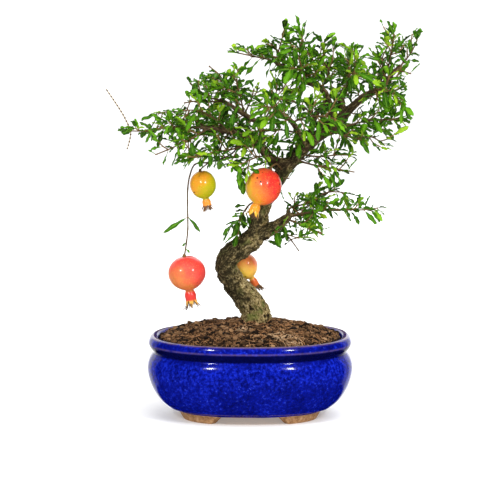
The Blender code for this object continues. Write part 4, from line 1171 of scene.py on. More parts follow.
@dataclass
class Knot:
    """A short length of stem that leaves and twigs grow from, by the side they are on."""

    HALF_LENGTH = 0.8

    ring: Ring
    grown: dict[int | None, Leaf | Stem] = field(default_factory=dict)

    def ends(self) -> list[Points]:
        """The corners of its lower and its upper end."""
        return [self.ring.moved(shift).corners() for shift in (-self.HALF_LENGTH, self.HALF_LENGTH)]

    def side(self, number: int | None) -> Points:
        """The four corners of a side, against the clock from outside, or of its upper end.

        Args:
            number: the side, or None for the end.

        Returns:
            The corners.
        """
        low, high = self.ends()
        if number is None:
            return high
        after = (number + 1) % 4
        return [low[number], low[after], high[after], high[number]]

    def bud(self, number: int) -> Vector:
        """Middle of a side."""
        return self.ring.centre + self.ring.facing(number) * self.ring.half * math.cos(math.radians(45.0))

    def nearest_side(self, aim: Vector) -> int:
        """The side that faces a direction best."""
        return max(range(4), key=lambda number: self.ring.facing(number).dot(aim))


@dataclass
class Stem:
    """A stem: the four corners that it starts from, and its knots in order."""

    name: str
    base: Points
    knots: list[Knot]

    def body(self) -> Surface:
        """Closed surface of the plain stem alone."""
        points, faces = split_tube([self.base] + [end for knot in self.knots for end in knot.ends()])
        return points, halves(faces[0]) + faces[1:-1] + halves(faces[-1])

    def foot(self) -> Vector:
        """Middle of its base."""
        return sum(self.base, Vector()) / 4.0

    def line(self, sink: float) -> Line:
        """Middle line with half-diagonals, to its tip.

        Args:
            sink: how deep under its base it starts.

        Returns:
            The line.
        """
        foot = self.foot()
        first, last = self.knots[0].ring, self.knots[-1].ring
        start = (first.centre - foot).normalized()
        rows = [(*(foot - start * sink), first.half * 1.15)]
        rows += [(*knot.ring.centre, knot.ring.half) for knot in self.knots]
        rows.append((*(last.centre + last.along * Knot.HALF_LENGTH), last.half * 0.8))
        return Line(rows)


class Obstacles:
    """Everything placed so far, held in a coarse grid so that a crossing is found fast."""

    CELL = 25.0

    def __init__(self) -> None:
        """Start with nothing placed."""
        self.cells = {}
        self.always = []

    def add(self, surface: Surface, owner: str, everywhere: bool = False) -> None:
        """Place a closed surface.

        Args:
            surface: its points and faces.
            owner: the stem or piece that it belongs to.
            everywhere: whether it is too large for the grid.
        """
        entry = (owner, BVHTree.FromPolygons(*surface))
        if everywhere:
            self.always.append(entry)
            return
        for cell in self.touched(surface[0]):
            self.cells.setdefault(cell, []).append(entry)

    def touched(self, points: Points) -> list[tuple[int, ...]]:
        """The grid's cells that a surface reaches.

        Args:
            points: the surface's points.

        Returns:
            The cells' numbers.
        """
        low = [math.floor((min(point[i] for point in points) - 0.5) / self.CELL) for i in range(3)]
        high = [math.floor((max(point[i] for point in points) + 0.5) / self.CELL) for i in range(3)]
        return list(itertools.product(*(range(low[i], high[i] + 1) for i in range(3))))

    def hit(self, surface: Surface, but_owner: str | None = None) -> bool:
        """Whether a closed surface crosses anything placed.

        Args:
            surface: its points and faces.
            but_owner: the stem whose pieces don't count, if there is one.

        Returns:
            True where it crosses something.
        """
        tree = BVHTree.FromPolygons(*surface)
        near = {id(entry): entry for entry in self.always}
        for cell in self.touched(surface[0]):
            near.update((id(entry), entry) for entry in self.cells.get(cell, []))
        return any(owner != but_owner and tree.overlap(other) for owner, other in near.values())


@dataclass
class GrowthRule:
    """How stems, twigs and leaves grow from the wood, with the same draws as in the solids."""

    wood: BVHTree
    taken: Obstacles
    gap: float = 0.35
    stem_base: float = 1.1
    stem_swell: float = 0.008
    stem_tip: float = 0.95
    start_across: tuple = (0.2, 0.3, 1.0)
    probe_start: float = 8.0
    probe_reach: float = 14.0
    knot_step: float = 14.5
    first_knot: float = 4.0
    base_lift: float = 0.15
    base_lifts: int = 10
    twig_half: float = 0.92
    twig_every: int = 3
    twig_lengths: tuple = (15.0, 25.0)
    twig_leans: tuple = (48.0, 62.0)
    twig_bend: float = 0.4
    twig_reach: float = 0.95
    twig_rises: tuple = (0.0, 0.3)
    twig_sways: tuple = (-0.25, 0.25)
    lowest_facing: float = -0.55
    past_tip: float = 3.0
    leaf_lengths: tuple = (15.0, 23.0)
    leaf_shape: float = 0.30
    leaf_plump: tuple = (0.88, 1.12)
    leaf_wave: float = 0.45
    leaf_roll: float = 38.0
    tip_tilts: tuple = (-0.3, 0.3)
    tip_scale: float = 0.9
    leaf_droops: tuple = (-0.02, 0.22)
    side_leans: tuple = (48.0, 72.0)
    tuft_leans: tuple = (34.0, 52.0)
    clear_from: float = 3.0
    near_from: float = 0.3
    clearance: float = 0.35
    tries: int = 8
    shrink: float = 0.06

    def leave_wood(self, line: Line, half: float, lift: float) -> tuple[Ring, Points, float]:
        """Find where a stem's line leaves the wood.

        Args:
            line: the stem's line.
            half: half-diagonal of its base.
            lift: how far its base is raised off the bark.

        Returns:
            The ring there, the first four corners, and how far along the line they reach.
        """
        distance = 0.0
        while distance < line.length:
            place = line.at(distance)
            nearest, normal, _, _ = self.wood.find_nearest(place)
            if (place - nearest).dot(normal) > 0.0:
                break
            distance += 0.5
        along = line.along(distance + 1.0)
        start = Ring(line.at(distance), along, carried(Vector(self.start_across), along), half)
        corners = []
        furthest = 0.0
        for corner in start.corners():
            origin = corner + along * self.probe_start
            hit, normal, _, _ = self.wood.ray_cast(origin, -along, self.probe_reach)
            if hit is None:
                hit, normal = corner, along
            corners.append(hit + along * (self.gap / max(normal.dot(along), 0.3) + lift))
            furthest = max(furthest, (corners[-1] - start.centre).dot(along))
        return start, corners, distance + furthest

    def stem(self, name: str, rows: list, step: float | None = None, half: float | None = None,
             first: float | None = None) -> Stem:
        """Plan a stem along a given line from the wood, its base lifted until it is clear.

        Args:
            name: the stem's node.
            rows: the line's points.
            step: distance between knots.
            half: half-diagonal along the whole stem, or None where it tapers.
            first: distance of the first knot from the base.

        Returns:
            The stem, with its knots evenly spaced.
        """
        line = Line(rows)
        base_half = half or self.stem_base + self.stem_swell * line.length
        narrowing = (half or self.stem_tip) - base_half
        for lift in range(self.base_lifts):
            start, corners, reached = self.leave_wood(line, base_half, self.base_lift * lift)
            low = reached + (first or self.first_knot)
            count = max(1, round((line.length - low) / (step or self.knot_step)))
            spacing = (line.length - Knot.HALF_LENGTH - low) / count
            places = [low + spacing * index for index in range(count + 1)]
            stops = [(place, base_half + narrowing * place / line.length) for place in places]
            stem = Stem(name, corners, line.knots(stops, start.across))
            if not BVHTree.FromPolygons(*stem.body()).overlap(self.wood):
                break
        return stem

    def side_stem(self, name: str, knot: Knot, side: int, line: Line, start: Vector,
                  halves_at: tuple) -> Stem:
        """A stem from a knot's side, with a knot of a half-diagonal at each share of its line."""
        stops = [(line.length * share - Knot.HALF_LENGTH, half) for share, half in halves_at]
        return Stem(name, knot.side(side), line.knots(stops, carried(-knot.ring.along, start)))

    def twig(self, name: str, knot: Knot, side: int, length: float, lean: float,
             draw: random.Random) -> Stem:
        """Plan a short curved side twig with two knots.

        Args:
            name: the stem that it belongs to.
            knot: the knot that it grows from.
            side: the knot's side.
            length: its length.
            lean: its angle to the stem, in degrees.
            draw: where its random draws come from.

        Returns:
            The twig.
        """
        foot = knot.bud(side)
        start = knot.ring.leaning(side, lean)
        sideways = start.cross(UP).normalized() * draw.uniform(*self.twig_sways)
        end = foot + (start * self.twig_reach + UP * draw.uniform(*self.twig_rises) + sideways) * length
        line = Line([foot, foot + start * length * self.twig_bend, end])
        return self.side_stem(name, knot, side, line, start, ((0.5, self.twig_half), (1.0, self.twig_half)))

    def twig_room(self, twig: Stem, clear_from: float) -> Surface:
        """The room that a twig needs, to a little past its tip.

        Args:
            twig: the twig.
            clear_from: how far off its parent the room starts.

        Returns:
            A closed surface round the room.
        """
        first, last = twig.knots[0].ring, twig.knots[-1].ring
        half = self.twig_half + self.clearance
        foot = twig.foot()
        start = (first.centre - foot).normalized()
        rings = [Ring(foot + start * clear_from, start, carried(first.across, start), half)]
        rings += [Ring(ring.centre, ring.along, ring.across, half) for ring in (first, last)]
        rings.append(last.moved(self.past_tip))
        return split_tube([ring.corners() for ring in rings])

    def leaf(self, knot: Knot, side: int | None, lean: float, draw: random.Random, scale: float) -> Leaf:
        """Plan a leaf on a knot's side, or at a stem's end.

        Args:
            knot: the knot that it grows from.
            side: the knot's side, or None for its end.
            lean: its angle to the stem, in degrees.
            draw: where its random draws come from.
            scale: its size against a full leaf.

        Returns:
            The leaf.
        """
        ring = knot.ring
        if side is None:
            foot = ring.centre + ring.along * Knot.HALF_LENGTH
            tilt = ring.across * draw.uniform(*self.tip_tilts) + ring.beside * draw.uniform(*self.tip_tilts)
            out = (ring.along + tilt).normalized()
        else:
            foot = knot.bud(side)
            out = ring.leaning(side, lean).normalized()
        flat = out.cross(UP)
        flat = flat.normalized() if flat.length > 0.15 else ring.across
        roll = math.radians(draw.uniform(-self.leaf_roll, self.leaf_roll))
        length = draw.uniform(*self.leaf_lengths) * scale
        width = length * self.leaf_shape * draw.uniform(*self.leaf_plump)
        droop = draw.uniform(*self.leaf_droops)
        wave = draw.choice((-1.0, 1.0)) * self.leaf_wave
        return Leaf(foot, out, Matrix.Rotation(roll, 3, out) @ flat, length, width, droop, wave)

    def try_leaf(self, name: str, knot: Knot, side: int | None, leans: tuple[float, float],
                 draw: random.Random, scale: float = 1.0) -> bool:
        """Place a leaf that crosses nothing, or none after a few tries.

        Args:
            name: the stem that it belongs to.
            knot: the knot that it grows from.
            side: the knot's side, or None for its end.
            leans: the least and greatest angle to the stem, in degrees.
            draw: where its random draws come from.
            scale: its size against a full leaf.

        Returns:
            Whether it was placed.
        """
        for attempt in range(self.tries):
            leaf = self.leaf(knot, side, draw.uniform(*leans), draw, scale * (1.0 - self.shrink * attempt))
            if (leaf.seen() and not self.taken.hit(leaf.body(self.clearance, self.clear_from))
                    and not self.taken.hit(leaf.body(self.clearance, self.near_from), name)):
                knot.grown[side] = leaf
                self.taken.add(leaf.solid(knot.side(side)), name)
                return True
        return False

    def add_twigs(self, stem: Stem) -> list[Stem]:
        """Grow side twigs on some knots, turned to the freer sides.

        Args:
            stem: the stem.

        Returns:
            The twigs.
        """
        draw = random.Random(stem.name + " twigs")
        twigs = []
        for knot in stem.knots[1:-1:self.twig_every]:
            sides = [0, 1, 2, 3]
            draw.shuffle(sides)
            for side in sides:
                if knot.ring.facing(side).z < self.lowest_facing:
                    continue
                length = draw.uniform(*self.twig_lengths)
                lean = draw.uniform(*self.twig_leans)
                twig = self.twig(stem.name, knot, side, length, lean, draw)
                if (in_crown(twig.knots[-1].ring.centre)
                        and not self.taken.hit(self.twig_room(twig, self.clear_from))
                        and not self.taken.hit(self.twig_room(twig, self.near_from), stem.name)):
                    knot.grown[side] = twig
                    self.taken.add(twig.body(), stem.name)
                    twigs.append(twig)
                    break
        return twigs

    def add_leaves(self, stem: Stem, is_twig: bool) -> None:
        """Grow a tuft at the tip, and leaves in ones and twos back along the stem.

        Args:
            stem: the stem or twig.
            is_twig: whether it is a twig, which has fewer leaves.
        """
        draw = random.Random(stem.name + (" twig leaves" if is_twig else " leaves"))
        for index, knot in reversed(list(enumerate(stem.knots))):
            last = knot is stem.knots[-1]
            if last:
                self.try_leaf(stem.name, knot, None, (0.0, 0.0), draw, self.tip_scale)
            sides = [side for side in range(4) if side not in knot.grown]
            draw.shuffle(sides)
            if last:
                wanted = 2
            elif is_twig:
                wanted = draw.choice((0, 1))
            else:
                wanted = draw.choice((1, 2)) if index else 0
            leans = self.tuft_leans if last else self.side_leans
            for side in sides:
                if wanted and self.try_leaf(stem.name, knot, side, leans, draw):
                    wanted -= 1


@dataclass
class Blade:
    """A leaf drawn finely: a short stalk, a folded blade with wavy edges, a rib and a tip.

    A section has points across its top at the spans, and a last one under its rib.
    """

    stations: tuple = (0.0, 0.05, 0.11, 0.19, 0.28, 0.37, 0.46, 0.55, 0.64, 0.73, 0.82, 0.92)
    spans: tuple = (1.0, 0.5, 0.0, -0.5, -1.0, 0.0)
    stalk_share: float = 0.08
    stalk_half: float = 0.42
    base_power: float = 0.85
    tip_power: float = 0.6
    fold: float = 0.55
    thickness: float = 0.34
    stalk_thickness: float = 0.5
    rib_depth: float = 0.22
    ripple: float = 0.11
    crimp: float = 0.1
    opening_at: tuple = (0.06, 0.2)
    closing_at: tuple = (0.86, 1.0)
    closed_share: float = 0.6
    bend_share: float = 0.34
    edge_share: float = 0.4
    root_depth: float = 0.6
    twists: tuple = (-22.0, 22.0)
    sickles: tuple = (-0.09, 0.09)
    wave_counts: tuple = (2.0, 3.4)
    fold_shares: tuple = (0.1, 1.6)

    def half_width(self, leaf: Leaf, share: float) -> float:
        """Half the leaf's width at a place.

        Args:
            leaf: the leaf.
            share: the place, as a share of its length.

        Returns:
            Half the width.
        """
        past = max((share - self.stalk_share) / (1.0 - self.stalk_share), 0.0)
        outline = past ** self.base_power * (1.0 - past) ** self.tip_power
        fullest = self.base_power / (self.base_power + self.tip_power)
        peak = fullest ** self.base_power * (1.0 - fullest) ** self.tip_power
        return max(self.stalk_half * (1.0 - past), 0.5 * leaf.width * outline / peak)

    def add_to(self, shape: Shape, leaf: Leaf, draw: random.Random, tone: float) -> None:
        """Draw a leaf into a stem's shape.

        Args:
            shape: where its points go.
            leaf: the leaf as it was planned.
            draw: where its random draws come from.
            tone: from 0, dark and old, to 1, pale and young.
        """
        twist = math.radians(draw.uniform(*self.twists))
        sickle = draw.uniform(*self.sickles)
        phases = (draw.uniform(0.0, math.tau), draw.uniform(0.0, math.tau))
        waves = draw.uniform(*self.wave_counts)
        fold = self.fold * draw.uniform(*self.fold_shares)
        rings = []
        across_marks = []
        for share in self.stations:
            along = leaf.along(share)
            side = Matrix.Rotation(twist * share, 3, along) @ leaf.side
            normal = side.cross(along).normalized()
            half = self.half_width(leaf, share)
            closing = smooth(share, *self.closing_at) * self.closed_share
            open_blade = smooth(share, *self.opening_at) * (1.0 - closing)
            middle = leaf.middle(share) + side * sickle * share * share * leaf.length
            if not rings:
                middle -= along * self.root_depth
            thick = self.thickness + (self.stalk_thickness - self.thickness) * (1.0 - open_blade)
            ring = []
            for number, span in enumerate(self.spans, 1):
                bend = math.cos(math.pi * (share - self.bend_share) / self.bend_share)
                wave = -leaf.wave * bend * math.copysign(1.0, span)
                turn = waves * math.tau * share + phases[span > 0.0]
                wave += self.ripple * leaf.width * math.sin(turn)
                reach = half * span * (1.0 + self.crimp * open_blade * math.cos(turn))
                rise = open_blade * abs(span) ** 1.4 * (fold * half / 2.0 + wave)
                if number == len(self.spans):
                    rise -= thick + self.rib_depth * open_blade
                elif abs(span) == 1.0:
                    rise -= thick * self.edge_share
                ring.append(middle + side * reach + normal * rise)
                across_marks.append(span * open_blade)
            rings.append(ring)
        root = rings[0][2] * 0.5 + rings[0][5] * 0.5
        points, faces = closed(rings, root, leaf.tip() + leaf.side * sickle * leaf.length)
        along_marks = [share for share in self.stations for _ in self.spans]
        shape.add((points, [tuple(reversed(face)) for face in faces]), 0, tone=tone,
                  along=along_marks + [0.0, 1.0], across=across_marks + [0.0, 0.0])


@dataclass
class Sprig:
    """One leafy stem with its twigs, drawn finely and filled with smaller leaves.

    The leaves' tones are a mean and a spread.
    """

    stem: Stem
    twigs: list[Stem]
    wood_step: float = 2.0
    wood_sides: int = 7
    wood_share: float = 0.64
    stem_sink: float = 2.6
    twig_sink: float = 0.5
    knot_swell: float = 0.2
    knot_reach: float = 1.5
    roughness: float = 0.07
    lump_size: float = 2.5
    tip_paler: float = 0.35
    palest_wood: float = 0.85
    stem_tone: float = 0.12
    twig_tone: float = 0.4
    spur_tone: float = 0.2
    planned_tones: tuple = (0.42, 0.24)
    extra_tones: tuple = (0.42, 0.26)
    lone_tones: tuple = (0.38, 0.24)
    tuft_young: float = 0.14
    blade: Blade = field(default_factory=Blade)
    extra: list[tuple[Leaf, float]] = field(default_factory=list)
    extra_twigs: list[Stem] = field(default_factory=list)

    def add_wood(self, shape: Shape, stem: Stem, sink: float, tone: float) -> None:
        """Draw a stem's wood, swollen a little at its knots.

        Args:
            shape: where its points go.
            stem: the stem or twig.
            sink: how far its foot reaches into what carries it.
            tone: from 0, old and olive, to 1, young and tan.
        """
        line = stem.line(sink)
        knots = [line.reach[index * Line.STEPS] for index in range(1, len(stem.knots) + 1)]
        places = []
        radii = []
        tones = []
        for distance in line.spaced(self.wood_step):
            row = line.row(distance)
            nearest = min(abs(distance - knot) for knot in knots)
            swell = self.knot_swell * bump_at(nearest, self.knot_reach)
            rough = self.roughness * noise.noise(row.xyz / self.lump_size)
            places.append(row.xyz)
            radii.append(row.w * self.wood_share * (1.0 + swell + rough))
            fresh = tone + self.tip_paler * distance / line.length + 0.1 * noise.noise(row.xyz / 9.0)
            tones += [clamped(fresh, self.palest_wood)] * self.wood_sides
        shape.add(sweep(places, radii, self.wood_sides), 1, tone=tones + [tones[0], tones[-1]])

    def add_blades(self, shape: Shape, leaves: list[tuple[Leaf, float]], draw: random.Random,
                   *tones: float) -> None:
        """Draw leaves, paler where they are young, each with a draw from the tones' mean and spread."""
        for leaf, young in leaves:
            self.blade.add_to(shape, leaf, draw, clamped(draw.gauss(*tones) + young))

    def planned(self) -> list[tuple[Leaf, float]]:
        """The leaves that the solids have too, and how young they are."""
        return [(grown, self.tuft_young if knot is stem.knots[-1] else 0.0)
                for stem in [self.stem] + self.twigs for knot in stem.knots
                for grown in knot.grown.values() if isinstance(grown, Leaf)]

    def leaves_alone(self) -> Shape:
        """Draw the leaves that the solids don't have, and any short spurs under them.

        Returns:
            Their shape.
        """
        shape = Shape()
        self.add_blades(shape, self.extra, random.Random(self.stem.name + " leaves alone"), *self.lone_tones)
        for spur in self.extra_twigs:
            self.add_wood(shape, spur, 0.0, self.spur_tone)
        return shape

    def shape(self) -> Shape:
        """Draw the whole sprig.

        Returns:
            Its shape.
        """
        shape = Shape()
        draw = random.Random(self.stem.name + " blades")
        self.add_wood(shape, self.stem, self.stem_sink, self.stem_tone)
        for twig in self.twigs + self.extra_twigs:
            self.add_wood(shape, twig, self.twig_sink, self.twig_tone)
        self.add_blades(shape, self.planned(), draw, *self.planned_tones)
        self.add_blades(shape, self.extra, draw, *self.extra_tones)
        return shape


@dataclass
class Filling:
    """The smaller leaves and twigs between those of the solids.

    Starts and ends are distances from a stem's foot and from its tip.
    """

    rule: GrowthRule
    low: Vector
    high: Vector
    pair_step: float = 6.4
    pair_scale: tuple = (0.45, 1.0)
    pair_leans: tuple = (38.0, 68.0)
    pair_young: float = 0.25
    tuft_leans: tuple = (22.0, 40.0)
    tip_young: float = 0.35
    tuft_below: float = 0.5
    stem_start: float = 7.0
    twig_start: float = 4.0
    start_spread: float = 2.0
    last_pair: float = 1.0
    steps: tuple = (0.8, 1.3)
    droops: tuple = (-0.05, 0.3)
    plump: tuple = (0.95, 1.2)
    roll: float = 0.7
    clearance: float = -0.15
    clear_from: float = 2.4
    tries: int = 6
    twig_step: float = 10.5
    twig_lengths: tuple = (9.0, 19.0)
    twig_leans: tuple = (45.0, 65.0)
    first_twig: float = 9.0
    last_twig: float = 6.0
    past_tip: float = 8.0
    spur_step: float = 9.0
    spur_steps: tuple = (0.7, 1.3)
    spur_leans: tuple = (40.0, 75.0)
    spur_lengths: tuple = (1.5, 4.5)
    spur_half: float = 0.85
    spur_sink: float = 0.6
    spur_young: float = 0.2

    def in_room(self, point: Vector) -> bool:
        """Whether a point lies in the solids' box."""
        return all(self.low[i] < point[i] < self.high[i] for i in range(3))

    def knot_at(self, line: Line, distance: float, across: Vector) -> Knot:
        """A place on a stem that leaves can grow from.

        Args:
            line: the stem's middle line.
            distance: how far along it.
            across: a crosswise direction to carry on.

        Returns:
            A knot there.
        """
        along = line.along(distance)
        row = line.row(distance)
        return Knot(Ring(row.xyz, along, carried(across, along), row.w))

    def try_leaf(self, sprig: Sprig, knot: Knot, side: int | None, leans: tuple[float, float],
                 draw: random.Random, young: float) -> None:
        """Place a small leaf that crosses nothing and stays in the crown, if one can be found.

        Args:
            sprig: where the leaf goes.
            knot: the knot that it grows from.
            side: the knot's side, or None for its end.
            leans: the least and greatest angle to the stem, in degrees.
            draw: where the random draws come from.
            young: how much paler it is than an old leaf.
        """
        for _ in range(self.tries):
            leaf = self.rule.leaf(knot, side, draw.uniform(*leans), draw, draw.uniform(*self.pair_scale))
            leaf.droop = draw.uniform(*self.droops)
            leaf.width *= draw.uniform(*self.plump)
            leaf.side = Matrix.Rotation(draw.uniform(-self.roll, self.roll), 3, leaf.out) @ leaf.side
            if (self.in_room(leaf.tip()) and leaf.seen()
                    and not self.rule.taken.hit(leaf.body(self.clearance, self.clear_from))):
                self.rule.taken.add(leaf.solid(knot.side(side)), sprig.stem.name)
                sprig.extra.append((leaf, young))
                return

    def fill_line(self, sprig: Sprig, stem: Stem, draw: random.Random, start: float) -> None:
        """Opposite pairs of small leaves along a stem, each pair turned from the last.

        Args:
            sprig: where the leaves go.
            stem: the stem or twig that they grow on.
            draw: where the random draws come from.
            start: distance of the first pair from the stem's foot.
        """
        line = stem.line(0.0)
        across = stem.knots[0].ring.across
        turned = draw.choice((0, 1))
        distance = start + draw.uniform(0.0, self.start_spread)
        while distance < line.length - self.last_pair:
            knot = self.knot_at(line, distance, across)
            for side in (turned, turned + 2):
                young = self.pair_young * (distance / line.length) ** 3
                self.try_leaf(sprig, knot, side, self.pair_leans, draw, young)
            turned = 1 - turned
            distance += self.pair_step * draw.uniform(*self.steps)
        end = self.knot_at(line, line.length - self.tuft_below, across)
        for side in draw.sample(range(4), 2):
            self.try_leaf(sprig, end, side, self.tuft_leans, draw, self.tip_young)

    def add_twigs(self, sprig: Sprig) -> None:
        """Grow short twigs between those of the solids, where there is room.

        Args:
            sprig: where the twigs go.
        """
        draw = random.Random(sprig.stem.name + " more twigs")
        line = sprig.stem.line(0.0)
        distance = self.first_twig
        while distance < line.length - self.last_twig:
            knot = self.knot_at(line, distance, sprig.stem.knots[0].ring.across)
            for side in draw.sample(range(4), 3):
                length = draw.uniform(*self.twig_lengths)
                lean = draw.uniform(*self.twig_leans)
                twig = self.rule.twig(sprig.stem.name, knot, side, length, lean, draw)
                end = twig.knots[-1].ring.moved(self.past_tip).centre
                if (self.in_room(end) and in_crown(end)
                        and not self.rule.taken.hit(self.rule.twig_room(twig, self.clear_from))):
                    self.rule.taken.add(twig.body(), sprig.stem.name)
                    sprig.extra_twigs.append(twig)
                    break
            distance += self.twig_step * draw.uniform(*self.steps)

    def add_spurs(self, sprig: Sprig, rows: list, start: float) -> None:
        """Grow short spurs on a limb, each with a rosette of leaves.

        Args:
            sprig: where the spurs and their leaves go.
            rows: the limb's points with their thickness.
            start: distance of the first spur along the limb.
        """
        draw = random.Random(f"spurs {rows[0]}")
        line = Line(rows)
        distance = start
        while distance < line.length:
            row = line.row(distance)
            along = line.along(distance)
            across = some_across(along)
            turn = draw.uniform(0.0, math.tau)
            facing = across * math.cos(turn) + along.cross(across) * math.sin(turn)
            length = draw.uniform(*self.spur_lengths)
            out = (facing + along * 0.4 + UP * 0.2).normalized()
            root = row.xyz + facing * (row.w * 0.5 - self.spur_sink)
            foot = Ring(root, out, some_across(out), self.spur_half)
            knot = Knot(foot.moved(length + self.spur_sink))
            sprig.extra_twigs.append(Stem(sprig.stem.name, foot.corners(), [knot]))
            for side in range(4):
                self.try_leaf(sprig, knot, side, self.spur_leans, draw, 0.0)
            self.try_leaf(sprig, knot, None, (0.0, 0.0), draw, self.spur_young)
            distance += self.spur_step * draw.uniform(*self.spur_steps)

    def fill(self, sprigs: list[Sprig]) -> None:
        """Fill every sprig: first the twigs of all, then the leaves.

        Args:
            sprigs: the sprigs.
        """
        for sprig in sprigs:
            self.add_twigs(sprig)
        for sprig in sprigs:
            draw = random.Random(sprig.stem.name + " more leaves")
            for twig in sprig.extra_twigs:
                self.try_leaf(sprig, twig.knots[-1], None, (0.0, 0.0), draw, self.tip_young)
            for twig in sprig.extra_twigs + sprig.twigs:
                self.fill_line(sprig, twig, draw, self.twig_start)
            self.fill_line(sprig, sprig.stem, draw, self.stem_start)


@dataclass
class Foliage:
    """All leafy stems, the fruits' bare stalks and the leafless twigs.

    A leafless twig has its two knots at shares of its line, with their thickness against a leafy twig's.
    """

    bench: Bench
    nodes: dict[str, bpy.types.Object]
    first_spur: float = 7.0
    high_trunk: int = 11
    hang: float = 0.15
    turned: float = 0.4
    wave: float = 0.4
    bare_start: float = 6.0
    bare_halves: tuple = ((0.45, 1.015), (1.0, 0.85))
    bare_step: float = 3.6
    bare_knob: float = 0.55
    bare_sides: int = 6
    bare_spacing: float = 0.6
    bark_sink: float = 3.0
    twig_sink: float = 0.6
    branch_tone: float = -0.05
    small_tone: float = 0.2
    stalk_tone: float = 0.3
    lone_young: float = 0.1
    coat: tuple = ("leaf_green", "young_wood")

    def plan(self) -> None:
        """Grow everything in the solids' own order, then fill the gaps."""
        surface = self.bench.surface(self.nodes["trunk"])
        taken = Obstacles()
        taken.add(surface, "trunk", everywhere=True)
        for name in FRUITS:
            taken.add(self.bench.surface(self.nodes[name]), name)
        rule = GrowthRule(BVHTree.FromPolygons(*surface), taken)
        self.branch = rule.stem("branch_of_fruit", FRUIT_BRANCH, FRUIT_BRANCH_STEP, FRUIT_BRANCH_HALF)
        self.small = self.small_stalk(rule)
        self.stalks = [rule.stem("stalk_front", FRONT_STALK, *FRONT_STALK_SIZES),
                       rule.stem("stalk_small", BACK_STALK, *BACK_STALK_SIZES)]
        stems = [rule.stem("stem_" + name, rows) for name, rows in STEMS.items()]
        self.bare = self.bare_twigs(rule, stems[0])
        for stem in [self.branch, self.small] + self.stalks + stems + self.bare:
            taken.add(stem.body(), stem.name)
        self.sprigs = [Sprig(stem, rule.add_twigs(stem)) for stem in stems]
        for twig in [twig for sprig in self.sprigs for twig in sprig.twigs]:
            rule.add_leaves(twig, True)
        for stem in stems:
            rule.add_leaves(stem, False)
        self.fill(rule)

    def fill(self, rule: GrowthRule) -> None:
        """Add what the solids leave out: spurs on the wood, short stems, small twigs and leaves.

        Args:
            rule: how stems grow, with everything that is placed already.
        """
        self.hanging = Sprig(self.branch, [])
        self.hanging.extra = [(self.hand_placed(*row), self.lone_young) for row in BRANCH_LEAVES]
        filling = Filling(rule, self.bench.low, self.bench.high)
        self.spurs = Sprig(Stem("spurs", [], []), [])
        filling.add_spurs(self.spurs, TRUNK[self.high_trunk:], 0.0)
        for rows in LIMBS.values():
            filling.add_spurs(self.spurs, rows, self.first_spur)
        more = [Sprig(rule.stem("more_" + name, rows), []) for name, rows in MORE_STEMS.items()]
        for sprig in more:
            rule.taken.add(sprig.stem.body(), sprig.stem.name)
        self.sprigs += more
        filling.fill(self.sprigs)
        leaves = [leaf for sprig in self.sprigs + [self.spurs, self.hanging] for leaf in sprig.extra]
        leaves += [leaf for sprig in self.sprigs for leaf in sprig.planned()]
        LOG.info("leaves: %d", len(leaves))

    def hand_placed(self, foot: tuple, tip: tuple, width: float) -> Leaf:
        """A leaf that faces the front.

        Args:
            foot: where it grows.
            tip: where it ends.
            width: its width.

        Returns:
            The leaf.
        """
        run = Vector(tip) - Vector(foot)
        out = (run + UP * self.hang * run.length).normalized()
        side = Matrix.Rotation(self.turned, 3, out) @ out.cross(Vector((0.0, 1.0, 0.0))).normalized()
        return Leaf(Vector(foot), out, side, run.length, width, self.hang, self.wave)

    def small_stalk(self, rule: GrowthRule) -> Stem:
        """The yellow fruit's short stalk, which leaves the long branch at a knot.

        Args:
            rule: how stems grow.

        Returns:
            The stalk.
        """
        knot = self.branch.knots[SMALL_STALK_KNOT]
        side = knot.nearest_side(Vector(SMALL_STALK[-1]) - knot.ring.centre)
        line = Line(SMALL_STALK)
        stalk = rule.side_stem("branch_of_fruit", knot, side, line, line.along(line.length),
                               ((1.0, rule.twig_half),))
        knot.grown[side] = stalk
        return stalk

    def bare_twigs(self, rule: GrowthRule, stem: Stem) -> list[Stem]:
        """Straight leafless twigs, each from the side of its knot that faces its tip.

        Args:
            rule: how stems grow.
            stem: the stem that carries them.

        Returns:
            The twigs.
        """
        halves_at = tuple((share, rule.twig_half * thick) for share, thick in self.bare_halves)
        twigs = []
        for index, tip in BARE_TWIGS:
            knot = stem.knots[index]
            aim = Vector(tip) - knot.ring.centre
            side = knot.nearest_side(aim)
            foot = knot.bud(side)
            bend = foot + (aim.normalized() + knot.ring.facing(side) * 0.5) * self.bare_start
            line = Line([foot, bend, Vector(tip)])
            twigs.append(rule.side_stem(stem.name, knot, side, line, line.along(self.bare_start), halves_at))
            knot.grown[side] = twigs[-1]
        return twigs

    def build(self) -> None:
        """Make one piece for each leafy stem and one for each bare stalk."""
        for sprig in self.sprigs:
            shape = sprig.shape()
            if sprig is self.sprigs[0]:
                for twig in self.bare:
                    self.add_knobbly(shape, twig)
            name = sprig.stem.name.replace("stem_", "sprig_").replace("more_", "sprig_")
            nodes = [sprig.stem.name] if sprig.stem.name in self.nodes else []
            self.bench.add(name, shape, self.coat, Slot.LEAF, *nodes)
        self.bench.add("limb_leaves", self.spurs.leaves_alone(), self.coat, Slot.LEAF)
        shape = self.hanging.leaves_alone()
        self.hanging.add_wood(shape, self.branch, self.bark_sink, self.branch_tone)
        self.hanging.add_wood(shape, self.small, self.twig_sink, self.small_tone)
        self.bench.add("fruit_branch", shape, self.coat, Slot.STALK, "branch_of_fruit")
        for stalk in self.stalks:
            shape = Shape()
            self.hanging.add_wood(shape, stalk, self.bark_sink, self.stalk_tone)
            self.bench.add("bare_" + stalk.name, shape, self.coat, Slot.STALK, stalk.name)

